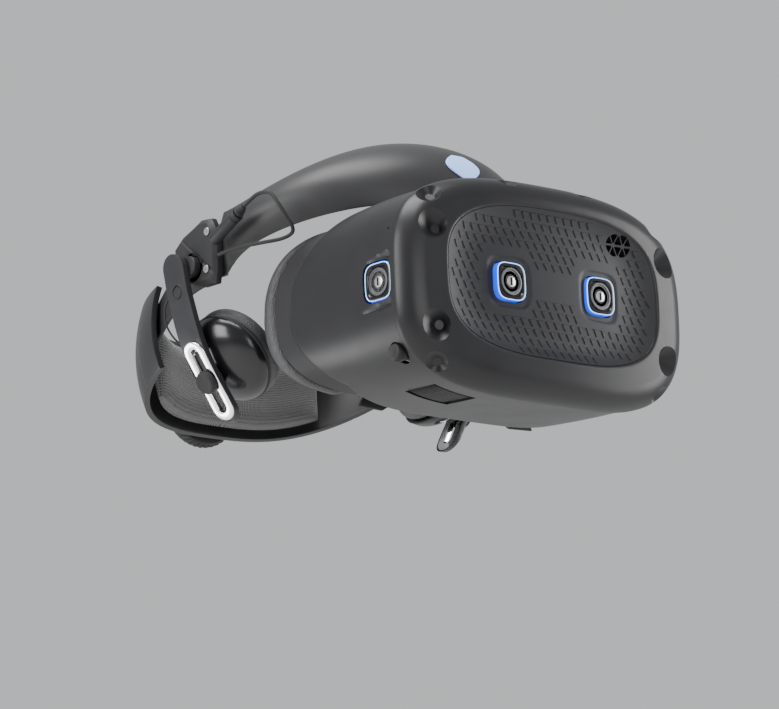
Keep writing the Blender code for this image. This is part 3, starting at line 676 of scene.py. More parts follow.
def window_floor(x, z, edge):
    """Depth of the dished window floor, given how far inside the window's edge the point is."""
    fillet = max(1 - edge / 15.0, 0.0)
    depth = 4.6 - 3.6 * fillet ** 2.2
    near = min(squircle_reach(x, z, sign * FRONT_CAMERA_X, 0) for sign in (-1, 1))
    moat = min(max((13.6 - near) / 1.4, 0.0), 1.0)
    return crown(x, z) + depth + 0.5 * moat * moat * (3 - 2 * moat)


def window_edge_distance(x, z):
    """Roughly how far inside the window's edge a point is, in millimetres."""
    reach = (abs(x / WINDOW[0]) ** 3 + abs((z - WINDOW[2]) / WINDOW[1]) ** 3) ** (1 / 3)
    return (1 - reach) * min(WINDOW[0], WINDOW[1] * 1.15)


def vent_holes():
    """Ten rounded triangles in two rows, drawn in to a round outline."""
    holes = []
    for row in (-1, 1):
        for i in range(-2, 3):
            x = 3.35 * i
            tip = row * (0.5 if i % 2 else 5.6)
            base = row * (5.6 if i % 2 else 0.5)
            corners = [Vector((x - 2.7, 0, base)), Vector((x + 2.7, 0, base)), Vector((x, 0, tip))]
            points = []
            for a, b in zip(corners, corners[1:] + corners[:1]):
                for t in (0.12, 0.36, 0.64, 0.88):
                    p = a.lerp(b, t)
                    reach = hypot(p.x / 8.4, p.z / 6.2)
                    points.append(p / max(reach, 1.0))
            rings = [[p + Vector((VENT[0], y, VENT[1])) for p in points] for y in (-12, 20)]
            holes.append(loft(rings, flat_ends=True))
    return holes


def make_window_panel():
    rings = []
    for i in range(54):
        t = (i / 53) ** 0.9
        ring = []
        for k in range(FINE):
            x, z = superellipse(2 * pi * k / FINE, (WINDOW[0] + 0.5) * (1 - t) + 0.01,
                                (WINDOW[1] + 0.5) * (1 - t) + 0.01, 3.0)
            z += WINDOW[2]
            ring.append(Vector((x, window_floor(x, z, window_edge_distance(x, z)), z)))
        rings.append(ring)
    under = [[Vector((p.x, crown(p.x, p.z) + 6.9, p.z)) for p in ring] for ring in (rings[-1], rings[0])]
    cuts = [rod((sign * FRONT_CAMERA_X, -20, 0), (sign * FRONT_CAMERA_X, 20, 0), 10.4, 64, CAMERA_POWER)
            for _, sign in SIDES]
    cuts.append(joined(vent_holes()))
    piece("window_floor", loft(rings + under, closed=True), "panel", "faceplate", ["faceplate_panel"],
          cuts=cuts,
          smooth=24)


def make_window_marks():
    visor = bpy.context.scene.headset_visor
    across, up = visor.mark_pitch
    sites = []
    for row in range(-7, 8):
        for column in range(-13, 14):
            x = (column + 0.5 * (row % 2)) * across
            z = WINDOW[2] + row * up
            edge = window_edge_distance(x, z)
            if edge < 2.2 or (abs(x) < 17.5 and abs(z) < 8.5):
                continue
            if min(squircle_reach(x, z, sign * FRONT_CAMERA_X, 0) for sign in (-1, 1)) < 17.0:
                continue
            if hypot((x - VENT[0]) / 10.8, (z - VENT[1]) / 8.6) < 1:
                continue
            here = window_floor(x, z, edge)
            side = window_floor(x + 0.5, z, window_edge_distance(x + 0.5, z)) - here
            rise = window_floor(x, z + 0.5, window_edge_distance(x, z + 0.5)) - here
            outward = Vector((side * 2, -1, rise * 2)).normalized()
            sites.append(((x, here, z), outward, 0))
    repeated("window_triangles", sites, "panel", "faceplate", embossed_triangle,
             {"Radius": visor.mark_size * MM, "Top": visor.mark_size * 0.74 * MM,
              "Depth": 0.6 * MM}, smooth=20)


def embossed_triangle(tree, sizes):
    """A low three-sided pad pointing down, with sloping sides."""
    pad = tree.nodes.new("GeometryNodeMeshCone")
    pad.inputs["Vertices"].default_value = 3
    tree.links.new(sizes["Top"], pad.inputs["Radius Top"])
    tree.links.new(sizes["Radius"], pad.inputs["Radius Bottom"])
    tree.links.new(sizes["Depth"], pad.inputs["Depth"])
    place = tree.nodes.new("GeometryNodeTransform")
    place.inputs["Translation"].default_value = (0, 0, -0.00018)
    place.inputs["Rotation"].default_value = (0, 0, radians(-90))
    tree.links.new(pad.outputs["Mesh"], place.inputs["Geometry"])
    return place.outputs["Geometry"]


def make_camera(name, face, inward, body, node):
    """A gloss squircle block inside its glowing blue ring, with a stepped grey lens and a silver iris; the
    ring's glow is painted, and the bright line along its lip is a painted highlight.
    """
    face, inward = Vector(face), Vector(inward)
    profile = [(0.9, 2.0), (0.9, 7.2), (0.5, 7.4), (0.0, 7.7), (0.0, 8.6), (0.15, 9.0), (0.5, 9.3),
               (9.5, 9.35)]
    piece(name + "_block", turned(face, inward, profile, 64, CAMERA_POWER), "gloss", body, [node])
    wall = [(0.4, 9.4), (0.3, 9.6), (0.5, 9.8), (9.6, 9.9), (9.6, 9.4)]
    # Painted glow: the ring wall shines by emission.
    piece(name + "_light", turned(face, inward, wall, 64, CAMERA_POWER, closed=True), "ring", body,
          [node + "_ring"])
    line = [(0.15, 9.2), (0.0, 9.3), (0.15, 9.45), (0.5, 9.5), (0.5, 9.2)]
    # Painted highlight: a thin bright line along the ring's lip.
    piece(name + "_rim_highlight", turned(face, inward, line, 64, CAMERA_POWER, closed=True), "painted_rim_highlight", body)
    lens = [(0.9, 7.2), (0.3, 7.0), (0.25, 6.2), (0.6, 6.1), (0.6, 5.3), (0.9, 5.2), (0.9, 4.5), (1.2, 4.4),
            (1.2, 3.7),
            (0.7, 3.5), (0.7, 3.3), (1.6, 3.2), (1.6, 1.0)]
    piece(name + "_lens", turned(face, inward, lens + [(2.2, 1.0), (2.2, 7.2)], 56), "gunmetal", body,
          smooth=30)
    iris = [(1.5, 3.0), (0.6, 2.8), (0.35, 1.8), (0.3, 0.3)]
    piece(name + "_iris", turned(face, inward, iris, 40), "silver", body)
    # Painted shade: a near-black rod across the lens centre stands for the shade in its slit.
    slit = [face + inward * 0.22 + Vector((0, 0, z)) for z in (-2.0, 2.0)]
    piece(name + "_slit", rod(slit[0], slit[1], 0.42, 12), "painted_shade", body)


class OBJECT_OT_headset_faceplate(bpy.types.Operator):
    """Build the faceplate: dimpled shell, dished window, embossed triangles, vent and front cameras"""
    bl_idname = "object.headset_faceplate"
    bl_label = "Faceplate"

    def execute(self, context):
        make_faceplate_shell()
        make_window_panel()
        make_window_marks()
        for side, sign in SIDES:
            make_camera("front_camera_%s" % side, (sign * FRONT_CAMERA_X, -2.2, 0), (0, 1, 0), "faceplate",
                        "front_camera_%s" % side)
        return {"FINISHED"}


# ---------------------------------------------------------------- visor body
def ramp(x, start, end):
    t = min(max((abs(x) - start) / (end - start), 0.0), 1.0)
    return t * t * (3 - 2 * t)


FINS = (((46.9, 7.3), (18.6, 9.6)), ((46.1, -17.4), (18.2, -14.3)))


def housing_point(angle, along, inset):
    """A point of the housing, from the faceplate seam (along 0) to the rear edge (1)."""
    power = 3.3 + 0.7 * along
    x, z = superellipse(angle, 95.0 - 7.0 * along ** 2 - inset, 55.0 - 2.5 * along ** 1.5 - inset, power)
    z += PLATE[2] + 0.5 * along
    front = crown(x, z) + 11.3
    rear = 70.0 - 0.1 * z + 33.0 * ramp(x, 40, 86) * max(1 - (z / 44.0) ** 2, 0)
    return Vector((x, front + (rear - front) * along, z))


def finned(point):
    """Two shallow tapering scoops run back from each side camera."""
    if abs(point.x) < 78:
        return point
    for start, end in FINS:
        run = Vector((end[0] - start[0], end[1] - start[1]))
        here = Vector((point.y - start[0], point.z - start[1]))
        t = here.dot(run) / run.length_squared
        if not 0 < t < 1:
            continue
        away = abs(run.x * here.y - run.y * here.x) / run.length
        width = 0.5 + 2.1 * t
        if away < width:
            point = point - Vector((copysign(1.9 * t * (1 - (away / width) ** 2), point.x), 0, 0))
    return point


def make_housing_shell():
    steps = [0.0, 0.004, 0.012, 0.025] + [0.04 + 0.93 * i / 62 for i in range(63)] + [0.985, 0.996, 1.0]
    lips = {0: 1.2, 1: 0.5, 2: 0.15, 3: 0.0, len(steps) - 3: 0.1, len(steps) - 2: 0.5, len(steps) - 1: 1.2}
    outer = []
    for i, step in enumerate(steps):
        ring = [housing_point(2 * pi * k / FINE, step, lips.get(i, 0.0)) for k in range(FINE)]
        outer.append([finned(point) for point in ring])
    inner = [[housing_point(2 * pi * k / FINE, step, 2.5) for k in range(FINE)] for step in (1.0, 0.5, 0.0)]
    cuts = []
    for _, sign in SIDES:
        cuts.append(rod((sign * 82, *SIDE_CAMERA[1:]), (sign * 105, *SIDE_CAMERA[1:]), 10.6, 64,
                        CAMERA_POWER))
        cuts.append(rod((sign * 70, *IPD_KNOB), (sign * 105, *IPD_KNOB), 5.0, 32))
        cuts.append(rod((sign * 90.5, 19.6, 23.6), (sign * 105, 19.6, 23.6), 0.55, 12))
    cuts.append(block((-64, 22, -70), (-36, 44, -45)))
    piece("housing_skin", loft(outer + inner, closed=True), "housing", "visor", ["main_housing"], cuts=cuts,
          smooth=28)


def make_exhaust():
    def patch(inset):
        return lambda u, v: housing_point(radians(240.3 + 17.4 * u), 0.19 + 0.28 * v, inset)
    piece("exhaust_tray", sheet_between(patch(1.7), patch(2.4), 20, 12), "housing", "visor", ["vent_grille"])
    count = bpy.context.scene.headset_visor.rib_count
    sites = []
    for i in range(count):
        v = (i + 0.5) / count
        place = patch(0.9)(0.5, v)
        slope = patch(0.9)(0.9, v) - patch(0.9)(0.1, v)
        outward = Vector((-slope.z, 0, slope.x))
        outward = outward if outward.z < 0 else -outward
        sites.append((tuple(place), outward.normalized(), 0))
    repeated("exhaust_ribs", sites, "halo", "visor", bar,
             {"Length": 26.4 * MM, "Width": 1.3 * MM, "Height": 2.8 * MM})


class OBJECT_OT_headset_housing(bpy.types.Operator):
    """Build the visor housing, its side cameras and the exhaust grille"""
    bl_idname = "object.headset_housing"
    bl_label = "Visor housing"

    def execute(self, context):
        make_housing_shell()
        for side, sign in SIDES:
            make_camera("side_camera_%s" % side, (sign * SIDE_CAMERA[0], *SIDE_CAMERA[1:]), (-sign, 0, 0),
                        "visor", "side_camera_%s" % side)
        make_exhaust()
        return {"FINISHED"}


# ---------------------------------------------------------------- optics, electronics and controls
class OBJECT_OT_headset_optics(bpy.types.Operator):
    """Build the lens frame, ribbed lens barrels, ridged lenses and display modules"""
    bl_idname = "object.headset_optics"
    bl_label = "Optics"

    def execute(self, context):
        def flat(depth, inset):
            return rounded(78.5 - inset, 46.0 - inset, 3.2, lambda x, z: depth, centre_z=PLATE[2], count=120)
        holes = []
        for _, sign in SIDES:
            rings = [rounded(28.6, 26.0, 2.4, lambda x, z, d=d: d, sign * LENS_X, LENS_Z, 96)
                     for d in (60, 80)]
            holes.append(loft(rings))
        piece("lens_mask", loft([flat(70.0, 0), flat(72.0, 0), flat(72.4, 0.6)]), "matte", "visor",
              ["lens_frame"],
              cuts=holes, bevel=0.3)
        for side, sign in SIDES:
            body = "lens_%s" % side
            start = (sign * LENS_X, 46.0, LENS_Z)
            barrel = [(0, 19), (0, 21.6), (20, 24.4), (22, 24.4), (22.4, 23.9), (23, 23.9), (23.4, 24.4),
                      (28.4, 24.4),
                      (29, 23.8), (29, 22.6), (1.6, 19)]
            piece("barrel_%s" % side, turned(start, (0, 1, 0), barrel, 72, closed=True), "matte", body,
                  ["lens_barrel_%s" % side])
            ridges = [(0, 6), (0, 19.5), (1.5, 21.2), (3.2, 19.5)]
            for i in range(14):
                radius = 19.0 - 1.3 * i
                lift = 3.3 + 2.1 * (1 - (radius / 20.0) ** 2)
                ridges += [(lift + 0.14, radius), (lift - 0.12, radius - 0.55)]
            piece("fresnel_%s" % side, turned((sign * LENS_X, 69.0, LENS_Z), (0, 1, 0), ridges, 72), "glass",
                  body,
                  ["lens_%s" % side], smooth=12)
            panel = block((sign * LENS_X - 27, 41.0, -30), (sign * LENS_X + 27, 45.7, 26))
            piece("screen_%s" % side, panel, "gloss", body, ["display_%s" % side], bevel=0.7)
        return {"FINISHED"}


def chips(face_y, outward, spots):
    return [((x, face_y, z), (0, outward, 0), turn) for x, z, turn in spots]


class OBJECT_OT_headset_electronics(bpy.types.Operator):
    """Finish the boards and the cooling fan inside the visor"""
    bl_idname = "object.headset_electronics"
    bl_label = "Electronics"

    def execute(self, context):
        paint("sensor_board", "board")
        paint("mainboard", "board")
        paint("fan_housing", "matte")
        paint("fan_rotor", "matte")
        spots = [(-60, 10, 0), (-44, -20, 90), (-20, -28, 0), (22, -30, 0), (46, 8, 90), (60, -14, 0),
                 (30, 4, 0),
                 (-28, 6, 90), (-62, -24, 0)]
        repeated("mainboard_chips", chips(16.6, -1, spots), "gloss", "visor", chip,
                 {"Length": 9 * MM, "Width": 7 * MM, "Height": 1.4 * MM})
        return {"FINISHED"}


def chip(tree, sizes):
    body = tree.nodes.new("GeometryNodeMeshCube")
    size = tree.nodes.new("ShaderNodeCombineXYZ")
    for axis, title in zip("XYZ", ("Length", "Width", "Height")):
        tree.links.new(sizes[title], size.inputs[axis])
    tree.links.new(size.outputs["Vector"], body.inputs["Size"])
    return body.outputs["Mesh"]


class OBJECT_OT_headset_controls(bpy.types.Operator):
    """Build the lens spacing knob, the headset button and the flip-up hinge"""
    bl_idname = "object.headset_controls"
    bl_label = "Controls and hinge"

    def execute(self, context):
        knob = [(-45, 1.6), (0, 1.6), (0, 4.0), (0.3, 4.3), (5.0, 4.3), (5.7, 3.9), (6.0, 3.2), (5.8, 2.6),
                (5.8, 0.4)]
        piece("spacing_knob", turned((-85.0, *IPD_KNOB), (-1, 0, 0), knob, 48), "matte", "ipd", ["ipd_knob"])
        sites = []
        for i in range(24):
            turn = 2 * pi * i / 24
            out = Vector((0, cos(turn), sin(turn)))
            sites.append((Vector((-88.2, *IPD_KNOB)) + out * 4.25, out, 0))
        repeated("spacing_knob_grip", sites, "matte", "ipd", bar,
                 {"Length": 3.8 * MM, "Width": 0.5 * MM, "Height": 0.6 * MM})
        button = [(0, 2.0), (0, 4.3), (4.8, 4.3), (5.4, 3.9), (5.6, 3.3), (5.2, 2.4), (5.1, 0.4)]
        piece("power_button", turned((84.0, *IPD_KNOB), (1, 0, 0), button, 48), "matte", "button",
              ["headset_button"])
        y, z = HINGE
        profile = arc((y, z), 3.3, 90, 270, 21) + [(68.0, z - 3.2), (68.0, z - 0.9), (54.5, z - 0.9)]
        piece("flip_bracket", slab(profile, -20, 20), "matte", "headband", ["hinge_bracket"], bevel=0.3,
              cuts=[block((-12, 40, 40), (12, 57, 70)), rod((-30, y, z), (30, y, z), 1.5, 24)])
        leaf = arc((y, z), 3.3, 90, -90, 21) + [(46.0, z - 1.2), (30.0, z - 0.6), (30.0, z + 1.6),
                                                (44.0, z + 2.6)]
        piece("flip_leaf", slab(leaf, -11.6, 11.6), "steel", "visor", ["hinge_leaf"], bevel=0.3,
              cuts=[rod((-30, y, z), (30, y, z), 1.5, 24)])
        pin = [(0, 0.9), (0.4, 1.2), (40.8, 1.2), (41.2, 0.9)]
        piece("flip_pin", turned((-20.6, y, z), (1, 0, 0), pin, 32), "steel", "headband", ["hinge_pin"])
        return {"FINISHED"}


# ---------------------------------------------------------------- face side
NOSE = (46.3, -69.5)


def face_point(angle, inset, shift, at_rear):
    """A point of the gasket's outline, held clear of the nose arch."""
    x, z = superellipse(angle, 80.0 - inset, 46.4 - inset, 4.0)
    z += 1.6
    reach = hypot(x, z - NOSE[1])
    clear = NOSE[0] + 0.15
    if reach < clear:
        x, z = x * clear / reach, NOSE[1] + (z - NOSE[1]) * clear / reach
    sides = ramp(x, 25, 80) * max(1 - (z / 54.0) ** 2, 0)
    depth = 88.0 + 35.0 * sides if at_rear else 75.0 + 24.0 * sides
    return Vector((x, depth + shift, z))


def face_loop(profile, start, end, count):
    """A section (inset, shift, at_rear) swept along the outline, open over the nose."""
    rings = []
    for i in range(count):
        t = i / (count - 1)
        angle = radians(start + (end - start) * t)
        rings.append([face_point(angle, *section) for section in profile])
    return rings


def tapered_ends(rings, steps=5):
    """Draw the first and last sections in to a rounded end."""
    result = []
    count = len(rings)
    for i, ring in enumerate(rings):
        near = min(i, count - 1 - i)
        if near < steps:
            centre = sum(ring, Vector()) / len(ring)
            keep = (1 - (1 - (near + 0.4) / steps) ** 2) ** 0.5
            ring = [centre.lerp(point, keep) for point in ring]
        result.append(ring)
    return result


class OBJECT_OT_headset_face_side(bpy.types.Operator):
    """Build the face gasket, its soft cushion and the nose flap"""
    bl_idname = "object.headset_face_side"
    bl_label = "Face side"

    def execute(self, context):
        shell = [(0.5, 0, False), (0, 0.6, False), (0, -0.8, True), (0.6, 0, True), (14.4, 0, True),
                 (15, -0.6, True),
                 (15, -2.4, True), (2.4, -2.4, True), (2.4, 0, False)]
        rings = face_loop(shell, -64, 244, 260)
        piece("gasket_shell", loft(rings, flat_ends=True), "matte", "visor", ["face_gasket"], smooth=30)
        pad = []
        for i in range(28):
            turn = 2 * pi * i / 28
            pad.append((8.0 - 8.0 * cos(turn) * (1 - 0.10 * max(sin(turn), 0)),
                        6.2 + 6.2 * copysign(abs(sin(turn)) ** 0.8, sin(turn)), True))
        rings = tapered_ends(face_loop(pad, -63, 243, 230))
        cushion = piece("face_pad", loft(rings), "leather", "visor", ["face_cushion"], smooth=60)
        seam = face_loop([(7.0, 12.62, True)], -60, 240, 120)
        sites = []
        for a, b in zip(seam, seam[1:]):
            run = b[0] - a[0]
            outward = Vector((0, 1, 0)) - run.normalized() * run.normalized().y
            sites.append((tuple(a[0]), outward.normalized(), -90 + 57.2958 * atan2(run.x, run.z)))
        repeated("face_pad_stitches", sites, "matte", "visor", bar,
                 {"Length": 1.7 * MM, "Width": 0.5 * MM, "Height": 0.4 * MM})
        lobe = [(43.0, -46.4), (57.0, -46.4), (60.0, -51.0), (44.0, -51.6), (37.5, -48.0)]
        outline = arc((0, NOSE[1]), NOSE[0] - 0.3, 147, 33, 41) + lobe + arc((0, NOSE[1]), NOSE[0] - 4.3, 35,
                                                                             145, 41)
        outline += [(-x, z) for x, z in reversed(lobe)]
        flap = loft([[Vector((x, y, z)) for x, z in outline] for y in (83.0, 85.0)], flat_ends=True)
        piece("nose_rubber", flap, "rubber", "visor", ["nose_flap"], bevel=0.5)
        return {"FINISHED"}


# ---------------------------------------------------------------- headband
HALO_PAD = (8.0, 17.0)


def halo_surface(u, v):
    """The outer face of the front band; u runs round it and v from its lower to its upper edge."""
    turn = radians(-95 + 190 * u)
    front = max(cos(turn), 0.0)
    low = Vector((88.0 * sin(turn), HEAD_Y - 92.0 * cos(turn), 27.0 + 29.0 * front ** 0.55))
    high = Vector((88.0 * sin(turn), HEAD_Y - 58.0 * front + 10 * max(-cos(turn), 0),
                   60.5 + 35.0 * front ** 1.6))
    out = Vector((0.8 * sin(turn), -0.8 * cos(turn), 0.6 * front)).normalized()
    return low.lerp(high, v) + out * (2.0 + 9.0 * front) * 4 * v * (1 - v)


def offset_surface(surface, depth):
    step = 1e-3

    def moved(u, v):
        du = surface(min(u + step, 1), v) - surface(max(u - step, 0), v)
        dv = surface(u, min(v + step, 1)) - surface(u, max(v - step, 0))
        normal = du.cross(dv).normalized()
        here = surface(u, v)
        if normal.dot(Vector((here.x, here.y - HEAD_Y, 0))) < 0:
            normal.negate()
        return here - normal * (depth(u, v) if callable(depth) else depth)
    return moved


def part_of(surface, u_range, v_range):
    return lambda u, v: surface(u_range[0] + (u_range[1] - u_range[0]) * u,
                                v_range[0] + (v_range[1] - v_range[0]) * v)


def swell(u, v, power=0.5):
    """How full a pad is at a point: nothing at its edges and one over its middle."""
    return (1 - abs(2 * u - 1) ** 8) ** power * (1 - abs(2 * v - 1) ** 4) ** power


def pad_between(surface, near, far, u_count, v_count):
    """A crowned pad between two offsets of a surface."""
    def inner(u, v):
        return near + (far - near) * swell(u, v)
    return sheet_between(offset_surface(surface, near), offset_surface(surface, inner), u_count, v_count)


class OBJECT_OT_headset_halo(bpy.types.Operator):
    """Build the halo band, its liner, forehead pad and plain badge"""
    bl_idname = "object.headset_halo"
    bl_label = "Halo band"

    def execute(self, context):
        shell = sheet_between(halo_surface, offset_surface(halo_surface, 3.0), 150, 36)
        piece("halo_skin", shell, "halo", "headband", ["halo_shell"], bevel=0.9, smooth=30)
        inner = part_of(halo_surface, (0.03, 0.97), (0.06, 0.94))
        liner = sheet_between(offset_surface(inner, 3.6), offset_surface(inner, 6.4), 110, 16)
        piece("halo_lining", liner, "rubber", "headband", ["halo_liner"], bevel=0.7)
        brow = part_of(halo_surface, (0.26, 0.74), (0.10, 0.86))
        pad = piece("brow_pad", pad_between(brow, HALO_PAD[0], HALO_PAD[1], 90, 28), "leather", "headband",
                    ["forehead_pad"], smooth=60)

        def badge(depth):
            def surface(u, v):
                half = 0.035 * (0.18 + 0.82 * sin(pi * (0.06 + 0.88 * v)))
                return offset_surface(halo_surface, depth)(0.5 + half * (2 * u - 1), 0.24 + 0.30 * v)
            return surface

        # Painted glow: the badge shines by emission.
        piece("plain_badge", sheet_between(badge(-0.9), badge(-0.1), 17, 17), "badge", "headband",
              ["halo_badge"],
              bevel=0.25)
        return {"FINISHED"}


BRACKET = [(149.4, 50), (153, 57), (161, 57.5), (168, 54.5), (176, 51.5), (183, 46), (183, 41), (177, 34),
           (172, 26),
           (162, 22.5), (151, 22.5), (149.4, 30)]
KNUCKLE = Vector((86.0, 167.0, 33.5))


def rear_plan(turn):
    """The cradle's plan, a rounded box behind the head; turn is 0 at the front and 180 at the back."""
    x = 88.5 * copysign(abs(sin(turn)) ** 0.70, sin(turn))
    return x, HEAD_Y + 125.0 * abs(cos(turn)) ** 0.70


def rail_surface(sign):
    def surface(u, v):
        x, y = rear_plan(radians(93 + 35 * u))
        fall = 3 * u ** 2 - 2 * u ** 3
        return Vector((sign * x, y, 37.0 - 24.0 * fall + (20.0 - 4.0 * u) * (v - 0.5)))
    return surface


class OBJECT_OT_headset_brackets(bpy.types.Operator):
    """Build the faceted side brackets and the rails down to the cradle"""
    bl_idname = "object.headset_brackets"
    bl_label = "Side brackets"

    def execute(self, context):
        for side, sign in SIDES:
            middle = Vector((0, 165.5, 40.5))
            rings = []
            for x, keep in ((90.8, 1.0), (94.0, 1.0), (96.2, 0.86)):
                rings.append([Vector((sign * x, middle.y + (y - middle.y) * keep,
                                      middle.z + (z - middle.z) * keep))
                              for y, z in BRACKET])
            seat = rod((sign * 70, *KNUCKLE[1:]), (sign * 100, *KNUCKLE[1:]), 6.2, 40)
            crease = rod((sign * 97.2, 150, 27.0), (sign * 97.2, 178, 52.0), 1.5, 16)
            piece("bracket_%s" % side, loft(rings, flat_ends=True), "matte", "headband",
                  ["side_bracket_%s" % side],
                  bevel=0.5, cuts=[seat, crease])
            # Painted shade: a near-black ring round the knuckle where it sits in the bracket.
            ring = tube((sign * 94.6, *KNUCKLE[1:]), (sign * 96.2, *KNUCKLE[1:]), 7.8, 6.3, 48)
            piece("seat_ring_%s" % side, ring, "painted_shade", "headband")
            rail = rail_surface(sign)
            plate = sheet_between(offset_surface(rail, 5.6), offset_surface(rail, 7.8), 60, 12)
            piece("rail_%s" % side, plate, "matte", "headband", ["side_rail_%s" % side], bevel=0.6)
            post = turned((sign * 80.2, 175, 43), (sign, 0, 0),
                          [(0, 2.2), (0.4, 2.6), (10.2, 2.6), (10.4, 2.3)], 32)
            piece("rail_post_%s" % side, post, "matte", "headband")
            screw = [(0, 0.5), (0, 2.6), (0.9, 3.4), (1.3, 3.4), (1.6, 3.0), (1.6, 1.0), (1.1, 0.9),
                     (1.1, 0.1)]
            spots = [Vector((sign * 96.0, 154.5, 50.0)), Vector((sign * 96.0, 156.0, 30.5))]
            for i, spot in enumerate(spots):
                piece("bracket_screw_%s_%d" % (side, i),
                      turned(spot, (sign, 0, 0), [(a * 0.6, r * 0.6) for a, r in screw], 24),
                      "steel", "headband")
        return {"FINISHED"}


LEAD_ROUTE = [(-98, 120, 57.5), (-97, 112.5, 60.8), (-96, 104.5, 59.8), (-94, 100.5, 53.8), (-90, 99.2, 47),
              (-86, 99.6, 42.6), (-83, 103.5, 40.2), (-85.5, 108.5, 38), (-91, 117, 37), (-94.6, 130, 37),
              (-96, 140, 36.5), (-96, 146.5, 36)]
JACK = (Vector((-98.2, 147.4, 43.4)), Vector((-98.2, 127.5, 53.4)))


def smooth_route(points, steps):
    """Catmull-Rom points through a given route."""
    ends = [points[0] * 2 - points[1]] + points + [points[-1] * 2 - points[-2]]
    path = []
    for a, b, c, d in zip(ends, ends[1:], ends[2:], ends[3:]):
        for i in range(steps):
            t = i / steps
            path.append(0.5 * ((2 * b) + (c - a) * t + (2 * a - 5 * b + 4 * c - d) * t * t
                               + (3 * b - a - 3 * c + d) * t ** 3))
    path.append(points[-1])
    return path


def sweep(path, radius, count=16):
    """A round tube along a path, its sections carried along without twist."""
    tangents = [(path[min(i + 1, len(path) - 1)] - path[max(i - 1, 0)]).normalized()
                for i in range(len(path))]
    side = tangents[0].orthogonal().normalized()
    rings = []
    for point, along in zip(path, tangents):
        side = (side - along * side.dot(along)).normalized()
        up = along.cross(side)
        turns = [2 * pi * k / count for k in range(count)]
        rings.append([point + radius * (cos(turn) * side + sin(turn) * up) for turn in turns])
    return loft(rings)


class OBJECT_OT_headset_leads(bpy.types.Operator):
    """Build the headphone jack, its plug and lead, and the tether inlet"""
    bl_idname = "object.headset_leads"
    bl_label = "Jack and leads"

    def execute(self, context):
        start, end = JACK
        along = (end - start).normalized()
        length = (end - start).length
        barrel = [(0, 2.4), (0.3, 3.0), (0.9, 3.3), (length - 3.4, 3.3), (length - 3.2, 3.0),
                  (length - 2.8, 3.0),
                  (length - 2.6, 3.5), (length - 0.4, 3.5), (length, 3.2), (length, 2.4), (length - 6, 2.3)]
        piece("jack_barrel", turned(start, along, barrel, 48), "matte", "headband", ["headphone_jack"],
              smooth=40)
        plug = [(-5.4, 1.9), (0.4, 1.9), (0.4, 2.6), (0.7, 2.8)]
        for i in range(5):
            plug += [(1.4 + 0.8 * i, 2.7 - 0.2 * i), (1.6 + 0.8 * i, 2.3 - 0.2 * i),
                     (1.9 + 0.8 * i, 2.3 - 0.2 * i)]
        plug += [(5.5, 1.5)]
        piece("plug_boot", turned(end, along, plug, 40), "rubber", "headband", ["headphone_plug"])
        tip = end + along * 5.8
        path = smooth_route([tip] + [Vector(p) for p in LEAD_ROUTE], 12)
        radius = context.scene.headset_band.lead_radius
        lead = piece("sound_lead", sweep(path, radius), "rubber", "headband", ["headphone_lead"], smooth=60)
        gland = [(0, 4.0), (5.6, 4.0), (6, 3.8)]
        for i in range(7):
            gland += [(6.6 + 1.3 * i, 3.5 - 0.12 * i), (7.3 + 1.3 * i, 3.5 - 0.12 * i),
                      (7.4 + 1.3 * i, 2.9 - 0.08 * i),
                      (7.8 + 1.3 * i, 2.9 - 0.08 * i)]
        gland += [(16, 2.4), (16, 1.4), (2, 1.4)]
        piece("tether_inlet", turned((96.0, 148.2, 44), (0, -1, 0.25), gland, 48), "rubber", "headband",
              ["cable_inlet"])
        return {"FINISHED"}


DIAL = (0, 275.5, -6)


def rear_surface(u, v):
    """The outer face of the rear cradle, from the wearer's right (0) round the back to the left (1)."""
    x, y = rear_plan(radians(-115 - 130 * u))
    side = abs(2 * u - 1)
    low = -27.5 + 19.0 * side ** 2
    high = 22.0 + 14.0 * side ** 1.5
    bow = 1 - 0.035 * (2 * v - 1) ** 2
    return Vector((x * bow, HEAD_Y + (y - HEAD_Y) * bow, low + (high - low) * v))


class OBJECT_OT_headset_cradle(bpy.types.Operator):
    """Build the rear cradle, its perforated pad and the ridged size dial"""
    bl_idname = "object.headset_cradle"
    bl_label = "Rear cradle"

    def execute(self, context):
        bore = rod((0, 240, DIAL[2]), (0, 300, DIAL[2]), 4.6, 40)
        shell = sheet_between(rear_surface, offset_surface(rear_surface, 3.0), 140, 30)
        seams = []
        for sign in (-1, 1):
            u = 0.5 + sign * 0.40
            path = [offset_surface(rear_surface, -0.25)(u, v / 30 * 1.2 - 0.1) for v in range(31)]
            seams.append(sweep(path, 0.55, 8))
        piece("cradle_skin", shell, "cradle", "rear", ["rear_shell"], cuts=[bore] + seams, bevel=0.7,
              smooth=30)
        cover = part_of(rear_surface, (0.2, 0.8), (0.05, 0.95))
        pad = piece("cradle_pad", pad_between(cover, 8.7, 18.8, 110, 36), "knit", "rear", ["rear_pad"],
                    smooth=60)
        knob = [(-8.0, 7.5), (-5.2, 7.5), (-5.2, 4.2), (0, 4.2), (0, 23.2), (0.8, 24.2), (6.4, 24.2),
                (7.2, 23.4),
                (7.6, 22.2), (7.6, 18.0), (7.2, 17.4), (7.2, 0.5)]
        piece("dial_core", turned(DIAL, (0, 1, 0), knob, 96), "matte", "dial", ["size_dial"], smooth=30)
        count = context.scene.headset_band.dial_ridges
        sites = []
        for i in range(count):
            turn = 2 * pi * i / count
            out = Vector((cos(turn), 0, sin(turn)))
            sites.append((Vector((0, DIAL[1] + 3.6, DIAL[2])) + out * 24.2, out, 90))
        repeated("dial_ridges", sites, "rubber", "dial", bar,
                 {"Length": 5.6 * MM, "Width": 2.1 * MM, "Height": 1.7 * MM})
        return {"FINISHED"}


